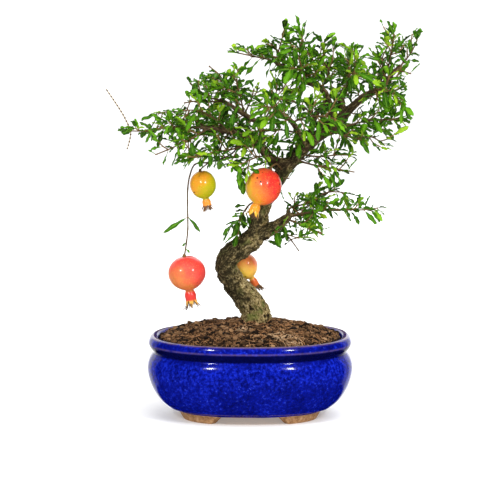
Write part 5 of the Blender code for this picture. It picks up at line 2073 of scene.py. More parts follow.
    def add_knobbly(self, shape: Shape, twig: Stem) -> None:
        """Draw a thin dry twig with a dark knob every few millimetres.

        Args:
            shape: where its points go.
            twig: the twig.
        """
        line = twig.line(self.twig_sink)
        distances = line.spaced(self.bare_spacing)
        half_step = self.bare_step / 2
        knobs = [bump_at((distance + half_step) % self.bare_step - half_step, self.bare_knob)
                 for distance in distances]
        radii = [line.row(distance).w * 0.5 * (1.0 + 1.3 * knob) for distance, knob in zip(distances, knobs)]
        tones = [1.0 - knob for knob in knobs for _ in range(self.bare_sides)]
        shape.add(sweep([line.at(distance) for distance in distances], radii, self.bare_sides), 1,
                  tone=tones + [0.5, 0.5])


@dataclass
class Pot:
    """The oval pot: a turned outline on a squarish oval, four clay feet and two drain holes.

    The outline's stretches are half-widths with heights, and a foot's sizes run from bottom to top.
    A place where the glaze is thin has its height, its reach and how thin it is.
    """

    bench: Bench
    depth_share: float = 0.78
    squareness: float = 2.3
    sectors: int = 176
    step: float = 1.1
    rim_step: float = 0.77
    inside_step: float = 4.0
    soften_passes: int = 3
    sharp_from: float = 40.0
    drain_x: float = 36.0
    drain_radius: float = 7.0
    drain_heights: tuple = (-4.0, 19.0)
    drain_sides: int = 40
    foot_middles: tuple = (39.0, 141.0, 219.0, 321.0)
    foot_height: float = 10.0
    foot_reach: tuple = (20.0, 30.0)
    foot_outer: tuple = (69.0, 73.0)
    foot_inner: tuple = (60.0, 57.0)
    foot_edge: float = 0.9
    foot_rows: int = 9
    foot_columns: int = 14
    base: tuple = ((68.0, 8.0), (73.5, 8.0), (75.0, 10.4), (81.5, 11.0))
    belly: tuple = ((81.5, 11.0), (91.6, 20.0), (99.3, 33.3), (103.0, 48.0), (101.4, 59.0), (96.6, 67.0))
    rim: tuple = ((96.6, 67.0), (99.0, 69.2), (101.8, 75.0), (99.8, 81.2), (96.0, 82.8), (92.6, 81.4),
                  (91.5, 78.6))
    inside: tuple = ((91.5, 78.6), (91.5, 69.0), (95.6, 50.0), (93.0, 32.0), (86.0, 21.0), (74.0, 15.0))
    thin_places: tuple = ((82.7, 0.9, 1.0), (11.0, 0.7, 1.0), (75.4, 0.7, 0.5))

    def oval_point(self, half: float, turn: float, height: float) -> Vector:
        """A point of an oval round the pot.

        Args:
            half: the oval's half-width.
            turn: the point's angle in radians.
            height: how high it is.

        Returns:
            The point.
        """
        cosine, sine = math.cos(turn), math.sin(turn)
        x = math.copysign(abs(cosine) ** (2.0 / self.squareness), cosine) * half
        y = math.copysign(abs(sine) ** (2.0 / self.squareness), sine) * half * self.depth_share
        return Vector((x, y, height))

    def oval(self, half: float, height: float, sectors: int) -> Points:
        """Points round the pot at a half-width and height, closer together at its corners."""
        return [self.oval_point(half, math.tau * index / sectors, height) for index in range(sectors)]

    def outline(self) -> list[tuple[float, float]]:
        """Half-widths and heights, from under the pot over its rim and down inside.

        Returns:
            The rows, softened at their corners down to the rim's inner edge.
        """
        rows = []
        for part, step in ((self.base, self.step), (self.belly, self.step), (self.rim, self.rim_step)):
            straight = part is self.base
            line = Line([(x, 0.0, z) for x, z in part], steps=1 if straight else Line.STEPS)
            rows += [line.at(distance) for distance in line.spaced(step)][:-1]
        for _ in range(self.soften_passes):
            rows = ([rows[0]] + [rows[i - 1] * 0.25 + rows[i] * 0.5 + rows[i + 1] * 0.25
                                 for i in range(1, len(rows) - 1)] + [rows[-1]])
        line = Line([(x, 0.0, z) for x, z in self.inside])
        rows += [line.at(distance) for distance in line.spaced(self.inside_step)]
        return [(row.x, row.z) for row in rows]

    def foot(self, middle: float) -> Surface:
        """A foot that follows the oval, its ends cut back in a curve to where it stands.

        Args:
            middle: the angle of its middle, in degrees.

        Returns:
            Its points and faces.
        """
        rings = []
        for row in range(self.foot_rows):
            share = row / (self.foot_rows - 1)
            edge = self.foot_edge * (1.0 - smooth(share, 0.0, 0.14))
            reach = mixed(self.foot_reach, share ** 1.3) - edge * 0.6
            turns = [math.radians(middle + reach * (2.0 * i / self.foot_columns - 1.0))
                     for i in range(self.foot_columns + 1)]
            outer = mixed(self.foot_outer, share) - edge
            inner = mixed(self.foot_inner, share) + edge
            height = share * self.foot_height
            rings.append([self.oval_point(outer, turn, height) for turn in turns]
                         + [self.oval_point(inner, turn, height) for turn in reversed(turns)])
        return closed(rings)

    def combine(self, pot: bpy.types.Object, surface: Surface, operation: str) -> None:
        """Join another solid to the pot, or cut it out.

        Args:
            pot: the pot.
            surface: the other solid's points and faces.
            operation: what the Boolean does.
        """
        other = self.bench.place("tool", Shape().add(surface), "glaze")
        applied(pot, "BOOLEAN", operation=operation, object=other, solver="EXACT")
        bpy.data.objects.remove(other)

    def thinness(self, height: float) -> float:
        """How thin the glaze has run at a height: over the rim's crest, its lip and the foot bead."""
        return max(bump_at(height - place, reach) * share for place, reach, share in self.thin_places)

    def build(self) -> None:
        """Make the pot, with its feet joined on and its drain holes cut."""
        body = closed([self.oval(half, height, self.sectors) for half, height in self.outline()])
        pot = self.bench.place("glazed_pot", Shape().add(body), "glaze")
        for middle in self.foot_middles:
            self.combine(pot, self.foot(middle), "UNION")
        for side in (-1.0, 1.0):
            ends = [Vector((side * self.drain_x, 0.0, height)) for height in self.drain_heights]
            self.combine(pot, sweep(ends, [self.drain_radius] * 2, self.drain_sides), "DIFFERENCE")
        pot.data.shade_smooth()
        pot.data.set_sharp_from_angle(angle=math.radians(self.sharp_from))
        set_mark(pot.data, "thin_glaze", [self.thinness(vert.co.z / MM) for vert in pot.data.vertices])
        self.bench.mount(pot, Slot.GLAZE, "pot")


@dataclass
class DrainScreens:
    """The two plastic screens over the drain holes, which keep the solids' shape."""

    nodes: dict[str, bpy.types.Object]
    bench: Bench

    def build(self) -> None:
        """Give both their finish."""
        for name in ("drain_screen_left", "drain_screen_right"):
            self.nodes[name].data.materials.clear()
            self.nodes[name].data.materials.append(self.bench.finishes["screen"])
            LOG.info("%s: keeps the solid's shape", name)


@dataclass
class Soil:
    """The mound of peat: a rough surface, crumbs of all sizes and loose fibres."""

    bench: Bench
    pot: Pot
    edge: float = 79.6
    edge_half: float = 90.9
    rise: float = 12.0
    hump: float = 4.5
    hump_reach: float = 30.0
    stump: tuple = (6.5, 14.0)
    bottom: float = 16.7
    bottom_half: float = 75.5
    wall_gap: float = 0.6
    rings: int = 70
    sectors: int = 180
    large_crumbs: int = 1300
    large_sizes: tuple = (0.8, 3.4)
    small_crumbs: int = 5000
    small_sizes: tuple = (0.5, 1.5)
    crumb_tones: tuple = (0.38, 0.26)
    furthest: float = 0.985
    fibres: int = 1500
    fibre_steps: int = 5
    fibre_least: int = 4
    fibre_sides: int = 4
    fibre_lengths: tuple = (3.0, 9.0)
    fibre_bends: tuple = (-0.5, 0.5)
    fibre_radii: tuple = (0.14, 0.34)
    root_tones: tuple = (0.0, 0.62)
    orange_tones: tuple = (0.8, 1.0)
    orange_every: int = 12
    orange_spots: tuple = ((-7.0, -26.0), (26.0, -50.0), (38.0, -46.0), (46.0, -58.0))

    def fine(self, point: Vector) -> float:
        """The smaller lumps of the surface at a place."""
        coarse = noise.noise(Vector((point.x, point.y, 2.0)) / 2.1)
        return coarse * 0.9 + noise.noise(Vector((point.x, point.y, 5.0))) * 0.45

    def height(self, point: Vector, share: float) -> float:
        """Height of the mound.

        Args:
            point: the place.
            share: its share of the way out to the pot's wall.

        Returns:
            The height.
        """
        distance = math.hypot(point.x - self.stump[0], point.y - self.stump[1])
        height = self.edge + self.rise * (1.0 - share ** 4) + self.hump * bump_at(distance, self.hump_reach)
        lumps = noise.noise(Vector((point.x, point.y, 3.0)) / 11.0) * 2.4
        lumps += noise.noise(Vector((point.x, point.y, 9.0)) / 5.0) * 1.2
        return height + (lumps + self.fine(point)) * (1.0 - share ** 8)

    def mound(self) -> Shape:
        """The mound as one closed form that follows the pot's wall.

        Returns:
            Its shape.
        """
        wall = [(half, height) for half, height in reversed(self.pot.inside) if height > self.bottom]
        rows = [self.pot.oval(self.bottom_half, self.bottom, self.sectors)]
        rows += [self.pot.oval(half - self.wall_gap, height, self.sectors) for half, height in wall[:-1]]
        edge = self.pot.oval(self.edge_half, self.edge, self.sectors)
        for index in range(self.rings + 1):
            share = 1.0 - index / (self.rings + 1)
            rows.append([Vector((p.x * share, p.y * share, self.height(p * share, share))) for p in edge])
        points, faces = closed(rows, high=Vector((0.0, 0.0, self.height(Vector(), 0.0))))
        tones = [0.08 + 0.35 * noise.noise(point / 4.0) + 0.2 * self.fine(point) for point in points]
        return Shape().add((points, faces), 0, tone=tones)

    def spot(self, draw: random.Random) -> Vector:
        """A random place on the mound's top, inside the rim.

        Args:
            draw: where the random draws come from.

        Returns:
            The place.
        """
        share = math.sqrt(draw.random()) * self.furthest
        point = self.pot.oval_point(self.edge_half * share, draw.uniform(0.0, math.tau), 0.0)
        point.z = self.height(point, share)
        return point

    def crumb(self, draw: random.Random, ball: Surface, size: float) -> Surface:
        """An irregular lump on the mound.

        Args:
            draw: where the random draws come from.
            ball: a ball of radius 1.
            size: the lump's radius.

        Returns:
            Its points and faces.
        """
        middle = self.spot(draw)
        seed = Vector((draw.uniform(0, 99), draw.uniform(0, 99), draw.uniform(0, 99)))
        squash = Vector((draw.uniform(0.7, 1.4), draw.uniform(0.6, 1.1), draw.uniform(0.45, 0.9)))
        turn = Matrix.Rotation(draw.uniform(0.0, math.tau), 3, "Z")
        middle.z += size * draw.uniform(-0.25, 0.3)
        points = []
        for point in ball[0]:
            lump = point * (1.0 + 0.45 * noise.noise(point * 1.3 + seed)) * size
            points.append(middle + turn @ (lump * squash))
        return points, ball[1]

    def ball(self, subdivisions: int) -> Surface:
        """A ball of triangles, radius 1.

        Args:
            subdivisions: how finely it is divided.

        Returns:
            Its points and faces.
        """
        builder = bmesh.new()
        bmesh.ops.create_icosphere(builder, subdivisions=subdivisions, radius=1.0)
        points = [vert.co.copy() for vert in builder.verts]
        faces = [tuple(vert.index for vert in face.verts) for face in builder.faces]
        builder.free()
        return points, faces

    def crumbs(self, seed: str, count: int, subdivisions: int, sizes: tuple[float, float]) -> Shape:
        """Crumbs strewn over the mound, most of them small.

        Args:
            seed: what its random draws start from.
            count: how many crumbs there are.
            subdivisions: how finely each is divided.
            sizes: the least and greatest radius.

        Returns:
            Their shape.
        """
        draw = random.Random(seed)
        shape = Shape()
        ball = self.ball(subdivisions)
        for _ in range(count):
            crumb = self.crumb(draw, ball, mixed(sizes, draw.random() ** 2.4))
            shape.add(crumb, 0, tone=clamped(draw.gauss(*self.crumb_tones)))
        return shape

    def strands(self) -> Shape:
        """Loose fibres and bits of root that lie on the crumbs, some orange.

        Returns:
            Their shape.
        """
        draw = random.Random("fibres")
        shape = Shape()
        for index in range(self.fibres):
            start = self.spot(draw)
            orange = index % self.orange_every == 0
            if orange:
                x, y = self.orange_spots[index // self.orange_every % len(self.orange_spots)]
                start = Vector((x + draw.gauss(0.0, 6.0), y + draw.gauss(0.0, 3.5), 0.0))
            turn = draw.uniform(0.0, math.tau)
            length = draw.uniform(*self.fibre_lengths)
            bend = draw.uniform(*self.fibre_bends)
            places = []
            for step in range(self.fibre_steps + 1):
                run = length * step / self.fibre_steps
                place = start + round_point(1.0, turn + bend * step / 2.5) * run
                share = self.share_of(place)
                if share > self.furthest:
                    break
                arch = 1.1 * math.sin(math.pi * step / self.fibre_steps) * draw.random()
                place.z = self.height(place, share) + 0.5 + arch
                places.append(place)
            if len(places) < self.fibre_least:
                continue
            thick = draw.uniform(*self.fibre_radii)
            radii = [thick * (1.0 - 0.6 * step / self.fibre_steps) for step in range(len(places))]
            tone = draw.uniform(*(self.orange_tones if orange else self.root_tones))
            shape.add(sweep(places, radii, self.fibre_sides), 0, tone=tone)
        return shape

    def share_of(self, point: Vector) -> float:
        """A place's share of the way out to the pot's wall.

        Args:
            point: the place.

        Returns:
            The share.
        """
        power = self.pot.squareness
        across = abs(point.x / self.edge_half) ** power
        deep = abs(point.y / (self.edge_half * self.pot.depth_share)) ** power
        return (across + deep) ** (1.0 / power)

    def build(self) -> None:
        """Make the mound, its crumbs and its fibres."""
        self.bench.add("peat_mound", self.mound(), ("peat",), Slot.PEAT, "soil")
        clods = self.crumbs("clods", self.large_crumbs, 2, self.large_sizes)
        crumbs = self.crumbs("crumbs", self.small_crumbs, 1, self.small_sizes)
        self.bench.add("peat_clods", clods, ("peat",), Slot.PEAT)
        self.bench.add("peat_crumbs", crumbs, ("peat",), Slot.PEAT)
        self.bench.add("peat_fibres", self.strands(), ("fibre",), Slot.PEAT)


@dataclass
class Trunk:
    """Trunk and limbs as one skin of wood, with ridged and cracked bark raised on it.

    The stump's rings are heights with radii. A knot has its place, its reach and how far it stands out.
    """

    bench: Bench
    trunk_sides: int = 28
    trunk_across: tuple = (1.0, 0.0, 0.0)
    trunk_swell: float = 0.16
    limb_sides: int = 16
    limb_across: tuple = (0.3, 1.0, 0.1)
    limb_swell: float = 0.12
    step: float = 2.5
    narrowing: float = 0.3
    narrow_length: float = 6.0
    voxel: float = 0.75
    smooth_passes: int = 4
    stump_middle: tuple = (6.5, 14.0)
    stump_rings: tuple = ((80.0, 15.0), (81.0, 15.0), (93.0, 15.0), (99.0, 15.0), (104.0, 11.5))
    bark_from: float = 91.0
    ridge_depth: float = 0.15
    deepest: float = 1.9
    old_radii: tuple = (2.2, 5.5)
    # painted shade on the bark: the bend's height and reach, the limbs' heights, and the foot left unshaded
    shade_bend: tuple = (150.0, 24.0)
    shade_above: tuple = (180.0, 215.0)
    unshaded_foot: tuple = (102.0, 120.0)
    middle_step: float = 1.5
    middle_across: tuple = (1.0, 0.2, 0.1)
    knots: tuple = ((-22.0, -8.0, 148.0, 5.5, 2.2), (-12.0, -9.0, 163.0, 4.5, 1.5),
                    (16.0, -6.0, 183.0, 4.0, 1.6), (-2.0, -3.0, 119.0, 5.0, 1.6),
                    (-8.0, 0.0, 112.0, 4.0, 1.5), (17.0, 4.0, 101.0, 4.5, 1.6),
                    (30.0, 0.0, 236.0, 3.4, 1.2), (56.0, -5.0, 272.0, 3.4, 1.4),
                    (80.0, -5.0, 294.0, 3.4, 1.4), (12.0, 10.0, 205.0, 4.0, 1.2),
                    (-28.0, 8.0, 156.0, 4.5, 1.6))

    def tube(self, rows: list, sides: int, swell: float, across: tuple) -> Surface:
        """A closed tube of wood along a line of points that carry their thickness.

        Args:
            rows: the points.
            sides: points in a ring.
            swell: how uneven its thickness is.
            across: the first ring's first direction.

        Returns:
            Its points and faces.
        """
        line = Line(rows)
        distances = line.spaced(self.step)
        rings = []
        for distance, (_, right, left) in zip(distances, line.axes(distances, Vector(across))):
            row = line.row(distance)
            narrow = 1.0 - self.narrowing * smooth(distance, line.length - self.narrow_length, line.length)
            rings.append([])
            for turn in (math.tau * i / sides for i in range(sides)):
                facing = right * math.cos(turn) + left * math.sin(turn)
                uneven = 1.0 + swell * noise.noise((row.xyz + facing * row.w * 0.5) / 9.0)
                rings[-1].append(row.xyz + facing * row.w * 0.5 * uneven * narrow)
        end = line.at(line.length) + line.along(line.length) * rows[-1][3] * 0.25
        return closed(rings, Vector(rows[0][:3]), end)

    def wood(self) -> Shape:
        """Stump, trunk and limbs as tubes that pass into each other.

        Returns:
            Their shape.
        """
        stump = [Vector((*self.stump_middle, height)) for height, _ in self.stump_rings]
        shape = Shape().add(sweep(stump, [radius for _, radius in self.stump_rings], self.trunk_sides))
        shape.add(self.tube(TRUNK, self.trunk_sides, self.trunk_swell, self.trunk_across))
        for rows in LIMBS.values():
            shape.add(self.tube(rows, self.limb_sides, self.limb_swell, self.limb_across))
        return shape

    def middle_lines(self) -> tuple[KDTree, list[tuple]]:
        """Places along the middle of all the wood, to find a point's own stretch of it.

        Returns:
            A tree of the places, and for each its distance, centre, axes and radius.
        """
        found = []
        for line in (Line(rows) for rows in [TRUNK, *LIMBS.values()]):
            distances = line.spaced(self.middle_step)
            axes = line.axes(distances, Vector(self.middle_across))
            for distance, (_, across, beside) in zip(distances, axes):
                row = line.row(distance)
                found.append((distance, row.xyz, across, beside, row.w * 0.5))
        tree = KDTree(len(found))
        for index, entry in enumerate(found):
            tree.insert(entry[1], index)
        tree.balance()
        return tree, found

    def relief(self, point: Vector, stretch: tuple) -> tuple[float, float]:
        """How far bark stands out at a point of the wood.

        Args:
            point: the point.
            stretch: distance, centre, axes and radius of its own stretch of wood.

        Returns:
            The height in millimetres, and how far up a ridge the point is, from 0 to 1.
        """
        distance, centre, across, beside, radius = stretch
        offset = point - centre
        flat = Vector((offset.dot(across), offset.dot(beside), distance * 0.35)) / 2.1
        warp = noise.noise(point / 6.0) * 0.9
        ridges = 1.0 - 2.2 * abs(noise.noise(flat + Vector((warp, -warp, 3.0))))
        plates = 1.0 - 2.0 * abs(noise.noise(Vector((flat.x, flat.y, flat.z * 2.2)) * 1.9))
        grit = noise.noise(point / 1.1)
        lumps = noise.noise(point / 4.5)
        up = 0.45 * ridges + 0.33 * plates + 0.24 * grit
        depth = min(self.ridge_depth * radius + 0.12, self.deepest)
        rough = noise.noise(point / 2.3) * min(0.06 * radius, 0.6)
        height = depth * (up - 0.35) + lumps * min(0.09 * radius, 0.8) + rough
        for x, y, z, reach, rise in self.knots:
            away = (point - Vector((x, y, z))).length
            if away < reach * 2.5:
                hollow = 0.6 * bump_at(away, reach * 0.38)
                height += rise * (bump_at(away, reach) - hollow)
                up -= 0.8 * bump_at(away, reach * 0.4)
        return height, clamped(0.42 + 0.55 * up)

    def painted_shade_at(self, point: Vector, normal: Vector) -> float:
        """How damp the bark is, mostly on the side turned away from the light.

        Args:
            point: a point of the wood.
            normal: the direction that it faces.

        Returns:
            From 0, dry, to 1.
        """
        middle, reach = self.shade_bend
        shaded = 0.6 * bump_at(point.z - middle, reach) + 0.35 * smooth(point.z, *self.shade_above)
        shaded += 0.6 * noise.noise(point / 6.0) - 0.9 * normal.x - 0.3 * normal.z
        return smooth(shaded, -0.5, 0.45) * smooth(point.z, *self.unshaded_foot)

    def build(self) -> None:
        """Join the wood in one skin, raise the bark and mark what its finish reads."""
        trunk = self.bench.place("barked_trunk", self.wood(), "bark")
        applied(trunk, "REMESH", mode="VOXEL", voxel_size=self.voxel * MM)
        applied(trunk, "SMOOTH", factor=0.5, iterations=self.smooth_passes)
        tree, found = self.middle_lines()
        places = []
        marks = {"ridge": [], "old": [], "damp": []}
        for place, normal in [(vert.co / MM, vert.normal.copy()) for vert in trunk.data.vertices]:
            point = place - self.bench.centre
            stretch = found[tree.find(point)[1]]
            height, up = self.relief(point, stretch)
            if point.z > self.bark_from:
                place += normal * height
            places += [value * MM for value in place]
            marks["ridge"].append(up)
            marks["old"].append(smooth(stretch[4], *self.old_radii))
            # painted shade, by the side that the point faces
            marks["damp"].append(self.painted_shade_at(point, normal))
        trunk.data.vertices.foreach_set("co", places)
        if not trunk.data.materials:
            trunk.data.materials.append(self.bench.finishes["bark"])
        trunk.data.shade_smooth()
        for name, values in marks.items():
            set_mark(trunk.data, name, values)
        self.bench.mount(trunk, Slot.BARK, "trunk")


@dataclass
class Fruit:
    """A pomegranate: ribbed rind, short neck, a crown of six lobes and the stamens in it.

    The rings of the callus are shares of its length with radii.
    """

    bench: Bench
    name: str
    slot: Slot
    sun_from: tuple[float, float, float]
    sectors: int = 72
    lobes: int = 6
    rind_rings: int = 34
    rind_end: float = 163.0
    neck_rings: int = 10
    lobe_rings: int = 9
    notch: float = 0.08
    rib: float = 0.02
    wall: float = 0.9
    stamens: int = 46
    stamen_lengths: tuple = (0.4, 0.8)
    stamen_spreads: tuple = (0.1, 0.65)
    stamen_bends: tuple = (-0.8, 0.8)
    stamen_sides: int = 5
    stamen_radii: tuple = (0.2, 0.17, 0.15, 0.15, 0.34, 0.3)
    callus_rings: tuple = ((0.0, 2.1), (0.35, 2.0), (0.7, 1.5), (1.0, 1.05))
    callus_sides: int = 16
    callus_tone: float = 0.55

    def __post_init__(self) -> None:
        """Take the fruit's sizes from the list of fruits, and draw the shape of its lobes."""
        middle, width, height, axis, self.neck, self.reach, self.spread = FRUITS[self.name]
        self.middle = Vector(middle)
        self.wide = width / 2.0
        self.tall = height / 2.0
        self.turn = UP.rotation_difference(Vector(axis).normalized()).to_matrix()
        self.mouth = self.neck * 1.05
        self.lobe_foot = self.tall + self.reach * 0.45
        self.lobe_height = self.reach * 0.55
        self.draw = random.Random(self.name + " crown")
        self.lean = [self.draw.uniform(0.6, 1.35) for _ in range(self.lobes)]
        self.length = [self.draw.uniform(0.72, 1.0) for _ in range(self.lobes)]
        self.turns = [math.tau * index / self.sectors for index in range(self.sectors)]

    def rind_rows(self) -> list[tuple[float, float, float]]:
        """The outline of the rind and the neck, up to where the lobes start.

        Returns:
            Depths along the axis, radii and how far into the crown each is.
        """
        rows = []
        for index in range(1, self.rind_rings + 1):
            angle = math.radians(self.rind_end) * index / self.rind_rings
            dimple = 0.9 * bump_at(angle, 0.22)
            rows.append((-self.tall * math.cos(angle) + dimple, self.wide * math.sin(angle), 0.0))
        points = [(x, 0.0, depth) for depth, x, _ in rows[-2:]]
        points += [(self.neck * 0.8, 0.0, self.tall * 0.99),
                   (self.neck * 0.86, 0.0, self.tall + self.reach * 0.07),
                   (self.neck * 1.08, 0.0, self.tall + self.reach * 0.26),
                   (self.mouth, 0.0, self.lobe_foot)]
        line = Line(points)
        start = (Vector(points[1]) - Vector(points[0])).length
        for index in range(1, self.neck_rings + 1):
            row = line.at(start + (line.length - start) * index / self.neck_rings)
            rows.append((row.z, row.x, 0.3 * index / self.neck_rings))
        return rows

    def lobe_row(self, share: float, wall: float) -> list[tuple[Vector, float]]:
        """A row of the crown.

        Args:
            share: its share of the lobes' height.
            wall: how far it lies inside the outer face.

        Returns:
            Points, and how far into the crown each is.
        """
        row = []
        for turn in self.turns:
            place = turn / math.tau * self.lobes % self.lobes
            number = int(place) % self.lobes
            near = 1.0 - abs((place - int(place)) * 2.0 - 1.0)
            pointed = near ** 0.9
            height = mixed((self.notch, self.length[number]), pointed) * self.lobe_height
            up = share * height / self.lobe_height
            flare = self.spread * (1.0 + (self.lean[number] - 1.0) * pointed) - self.mouth
            radius = self.mouth + flare * up ** 1.5 - 0.5 * up * (1.0 - near)
            radius -= wall * (1.0 - 0.55 * share)
            row.append((round_point(radius, turn, self.lobe_foot + share * height), 0.3 + 0.7 * up))
        return row

    def skin(self) -> Shape:
        """Rind, neck and crown as one closed surface, with marks for the sunny side and the crown.

        Returns:
            Its shape.
        """
        rings = []
        crown = []
        for depth, radius, into in self.rind_rows():
            ribbed = self.rib * smooth(radius, 0.2 * self.wide, 0.8 * self.wide)
            rings.append([])
            for turn in self.turns:
                facing = round_point(1.0, turn)
                uneven = 1.0 + ribbed * math.cos(self.lobes * turn)
                uneven += 0.012 * noise.noise((facing * radius + UP * depth) / 7.0)
                rings[-1].append(facing * radius * uneven + UP * depth)
            crown += [into] * self.sectors
        walls = [(index, 0.0) for index in range(1, self.lobe_rings + 1)]
        walls += [(index, self.wall) for index in range(self.lobe_rings, -1, -1)]
        for index, wall in walls:
            row = self.lobe_row(index / self.lobe_rings, wall)
            rings.append([point for point, _ in row])
            crown += [into for _, into in row]
        cup = self.tall + self.reach * 0.3
        rings.append([round_point((self.neck - self.wall) * 0.8, turn, cup) for turn in self.turns])
        crown += [0.9] * self.sectors + [0.0, 1.0]
        points, faces = closed(rings, UP * (0.9 - self.tall), UP * (cup - 0.4))
        points = [self.turn @ point + self.middle for point in points]
        facing = Vector(self.sun_from).normalized()
        sun = [0.5 + 0.5 * (point - self.middle).normalized().dot(facing) for point in points]
        return Shape().add((points, faces), 0, sun=sun, crown=crown)

    def inside_crown(self) -> Shape:
        """Thin bent stamens with small heads, rooted in the cup.

        Returns:
            Their shape.
        """
        shape = Shape()
        cup = self.tall + self.reach * 0.28
        for _ in range(self.stamens):
            turn = self.draw.uniform(0.0, math.tau)
            out = (self.neck - self.wall) * math.sqrt(self.draw.random()) * 0.75
            facing = round_point(1.0, turn)
            length = self.reach * self.draw.uniform(*self.stamen_lengths)
            spread = self.draw.uniform(*self.stamen_spreads)
            bend = self.draw.uniform(*self.stamen_bends)
            side = Vector((-facing.y, facing.x, 0.0))
            places = []
            for share in (step / 5.0 for step in range(6)):
                place = (facing * (out + spread * length * share ** 1.6)
                         + side * bend * share * share + UP * (cup + length * share))
                places.append(self.turn @ place + self.middle)
            shape.add(sweep(places, self.stamen_radii, self.stamen_sides), 0, tone=self.draw.random())
        return shape

    def callus(self) -> Shape:
        """The swollen ring where the stalk meets the fruit.

        Returns:
            Its shape.
        """
        places = []
        radii = []
        for share, radius in self.callus_rings:
            places.append(self.turn @ Vector((0.0, 0.0, -self.tall + 1.4 - 3.2 * share)) + self.middle)
            radii.append(radius * self.wide / 18.0 + 0.1)
        return Shape().add(sweep(places, radii, self.callus_sides), 0, tone=self.callus_tone)

    def build(self) -> None:
        """Make the fruit, its stamens and its callus."""
        self.bench.add("ripe_" + self.name, self.skin(), (self.slot.value,), self.slot, self.name)
        self.bench.add("stamens_of_" + self.name, self.inside_crown(), ("stamen",), self.slot)
        self.bench.add("callus_of_" + self.name, self.callus(), ("young_wood",), Slot.STALK)


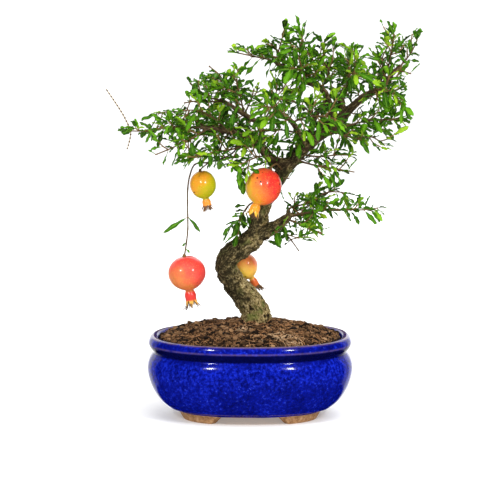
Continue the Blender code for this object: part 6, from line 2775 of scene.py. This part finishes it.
@dataclass
class Studio:
    """The camera at the photograph's angle, a pale floor and soft lights, in metres.

    The upright boxes have their angle from straight behind, in degrees, and their power.
    """

    bench: Bench
    aim_height: float = 0.1760
    elevation: float = 8.7
    distance: float = 5.0
    lens: float = 360.0
    sky: float = 0.52
    floor_glow: float = 0.24
    floor_half: float = 30.0
    lit_height: float = 0.18
    sun_place: tuple = (0.25, -0.45, 1.0)
    sun_strength: float = 2.5
    sun_spread: float = 60.0
    rim_box_place: tuple = (0.0, 1.15, 1.0)
    rim_box_power: float = 4.0
    lamp_place: tuple = (0.75, -1.25, 0.95)
    lamp_power: float = 9.0
    lamp_size: float = 0.16
    boxes: tuple = ((15.0, 4.2), (33.0, 2.6), (51.0, 1.1))
    box_distance: float = 1.6
    box_height: float = 0.15

    def camera(self) -> None:
        """Set up the camera, far off and a little above the pot's rim."""
        data = bpy.data.cameras.new("camera")
        data.lens = self.lens
        camera = bpy.data.objects.new("camera", data)
        aim = Vector((self.bench.centre.x * MM, self.bench.centre.y * MM, self.aim_height))
        tilt = math.radians(self.elevation)
        camera.location = aim + Vector((0.0, -math.cos(tilt), math.sin(tilt))) * self.distance
        camera.rotation_euler = (math.pi / 2.0 - tilt, 0.0, 0.0)
        bpy.context.scene.collection.objects.link(camera)
        bpy.context.scene.camera = camera

    def light(self, name: str, kind: str, place: tuple, energy: float, glossy: bool = True,
              **settings: object) -> None:
        """A light that faces the middle of the tree.

        Args:
            name: its name.
            kind: its type.
            place: where it stands, in metres.
            energy: its power, or its strength for a sun.
            glossy: whether it shows in reflections.
            settings: its other values.
        """
        data = bpy.data.lights.new(name, kind)
        data.energy = energy
        for key, value in settings.items():
            setattr(data, key, value)
        light = bpy.data.objects.new(name, data)
        light.location = place
        light.visible_glossy = glossy
        light.visible_camera = False
        towards = UP * self.lit_height - Vector(place)
        light.rotation_euler = towards.to_track_quat("-Z", "Y").to_euler()
        bpy.context.scene.collection.objects.link(light)

    def lights(self) -> None:
        """Set up a soft sun, a box high up behind, two lamps in front and upright boxes behind."""
        self.light("soft_sun", "SUN", self.sun_place, self.sun_strength, False,
                   angle=math.radians(self.sun_spread))
        self.light("rim_box", "AREA", self.rim_box_place, self.rim_box_power, shape="RECTANGLE",
                   size=1.8, size_y=0.5)
        for side, name in ((-1.0, "left"), (1.0, "right")):
            x, y, z = self.lamp_place
            self.light(name + "_lamp", "AREA", (side * x, y, z), self.lamp_power, shape="SQUARE",
                       size=self.lamp_size)
            for degrees, energy in self.boxes:
                turn = math.radians(degrees)
                place = (side * math.sin(turn) * self.box_distance, math.cos(turn) * self.box_distance,
                         self.box_height)
                self.light(f"{name}_box_{degrees:.0f}", "AREA", place, energy, shape="RECTANGLE",
                           size=0.5, size_y=1.6)

    def floor(self) -> None:
        """A plain pale floor."""
        graph = Graph("floor", 0.9, Specular_IOR_Level=0.0, Emission_Color=(1.0, 1.0, 1.0, 1.0),
                      Emission_Strength=self.floor_glow)
        half = self.floor_half
        mesh = bpy.data.meshes.new("floor")
        mesh.from_pydata([(-half, -half, 0), (half, -half, 0), (half, half, 0), (-half, half, 0)], [],
                         [(0, 1, 2, 3)])
        mesh.materials.append(graph.finish((0.8, 0.8, 0.8)))
        floor = bpy.data.objects.new("floor", mesh)
        floor.visible_glossy = False
        bpy.context.scene.collection.objects.link(floor)
        floor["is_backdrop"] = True

    def build(self) -> None:
        """Set up camera, floor, sky and lights."""
        self.camera()
        self.floor()
        world = bpy.data.worlds.new("studio")
        world.use_nodes = True
        background = world.node_tree.nodes["Background"]
        background.inputs["Color"].default_value = (1.0, 1.0, 1.0, 1.0)
        background.inputs["Strength"].default_value = self.sky
        bpy.context.scene.world = world
        world.cycles_visibility.glossy = False
        bpy.context.scene.view_settings.view_transform = "Standard"
        self.lights()


def main() -> None:
    """Load the frame, build every piece round it and note both boxes."""
    for old in list(bpy.data.objects):
        bpy.data.objects.remove(old)
    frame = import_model()
    cad_box = [list(corner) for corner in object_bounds()]
    low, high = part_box("pot")
    centre = Vector(((low.x + high.x) / 2.0, (low.y + high.y) / 2.0, 0.0)) / MM
    room = [Vector(corner) / MM - centre for corner in cad_box]
    bench = Bench(centre, room[0], room[1], make_finishes())

    Studio(bench).build()
    pot = Pot(bench)
    pot.build()
    DrainScreens(frame["nodes"], bench).build()
    Soil(bench, pot).build()
    Trunk(bench).build()
    for name, slot, sun_from in (("fruit_hanging", Slot.CORAL, (0.55, 0.1, 0.75)),
                                 ("fruit_yellow", Slot.YELLOW, (-0.6, -0.3, 0.5)),
                                 ("fruit_front", Slot.ORANGE, (0.95, -0.25, 0.2)),
                                 ("fruit_small", Slot.PEACH, (0.3, 0.0, 1.0))):
        Fruit(bench, name, slot, sun_from).build()
    foliage = Foliage(bench, frame["nodes"])
    foliage.plan()
    foliage.build()


if __name__ == "__main__":
    logging.basicConfig(level=logging.INFO, format="%(name)s: %(message)s")
    main()
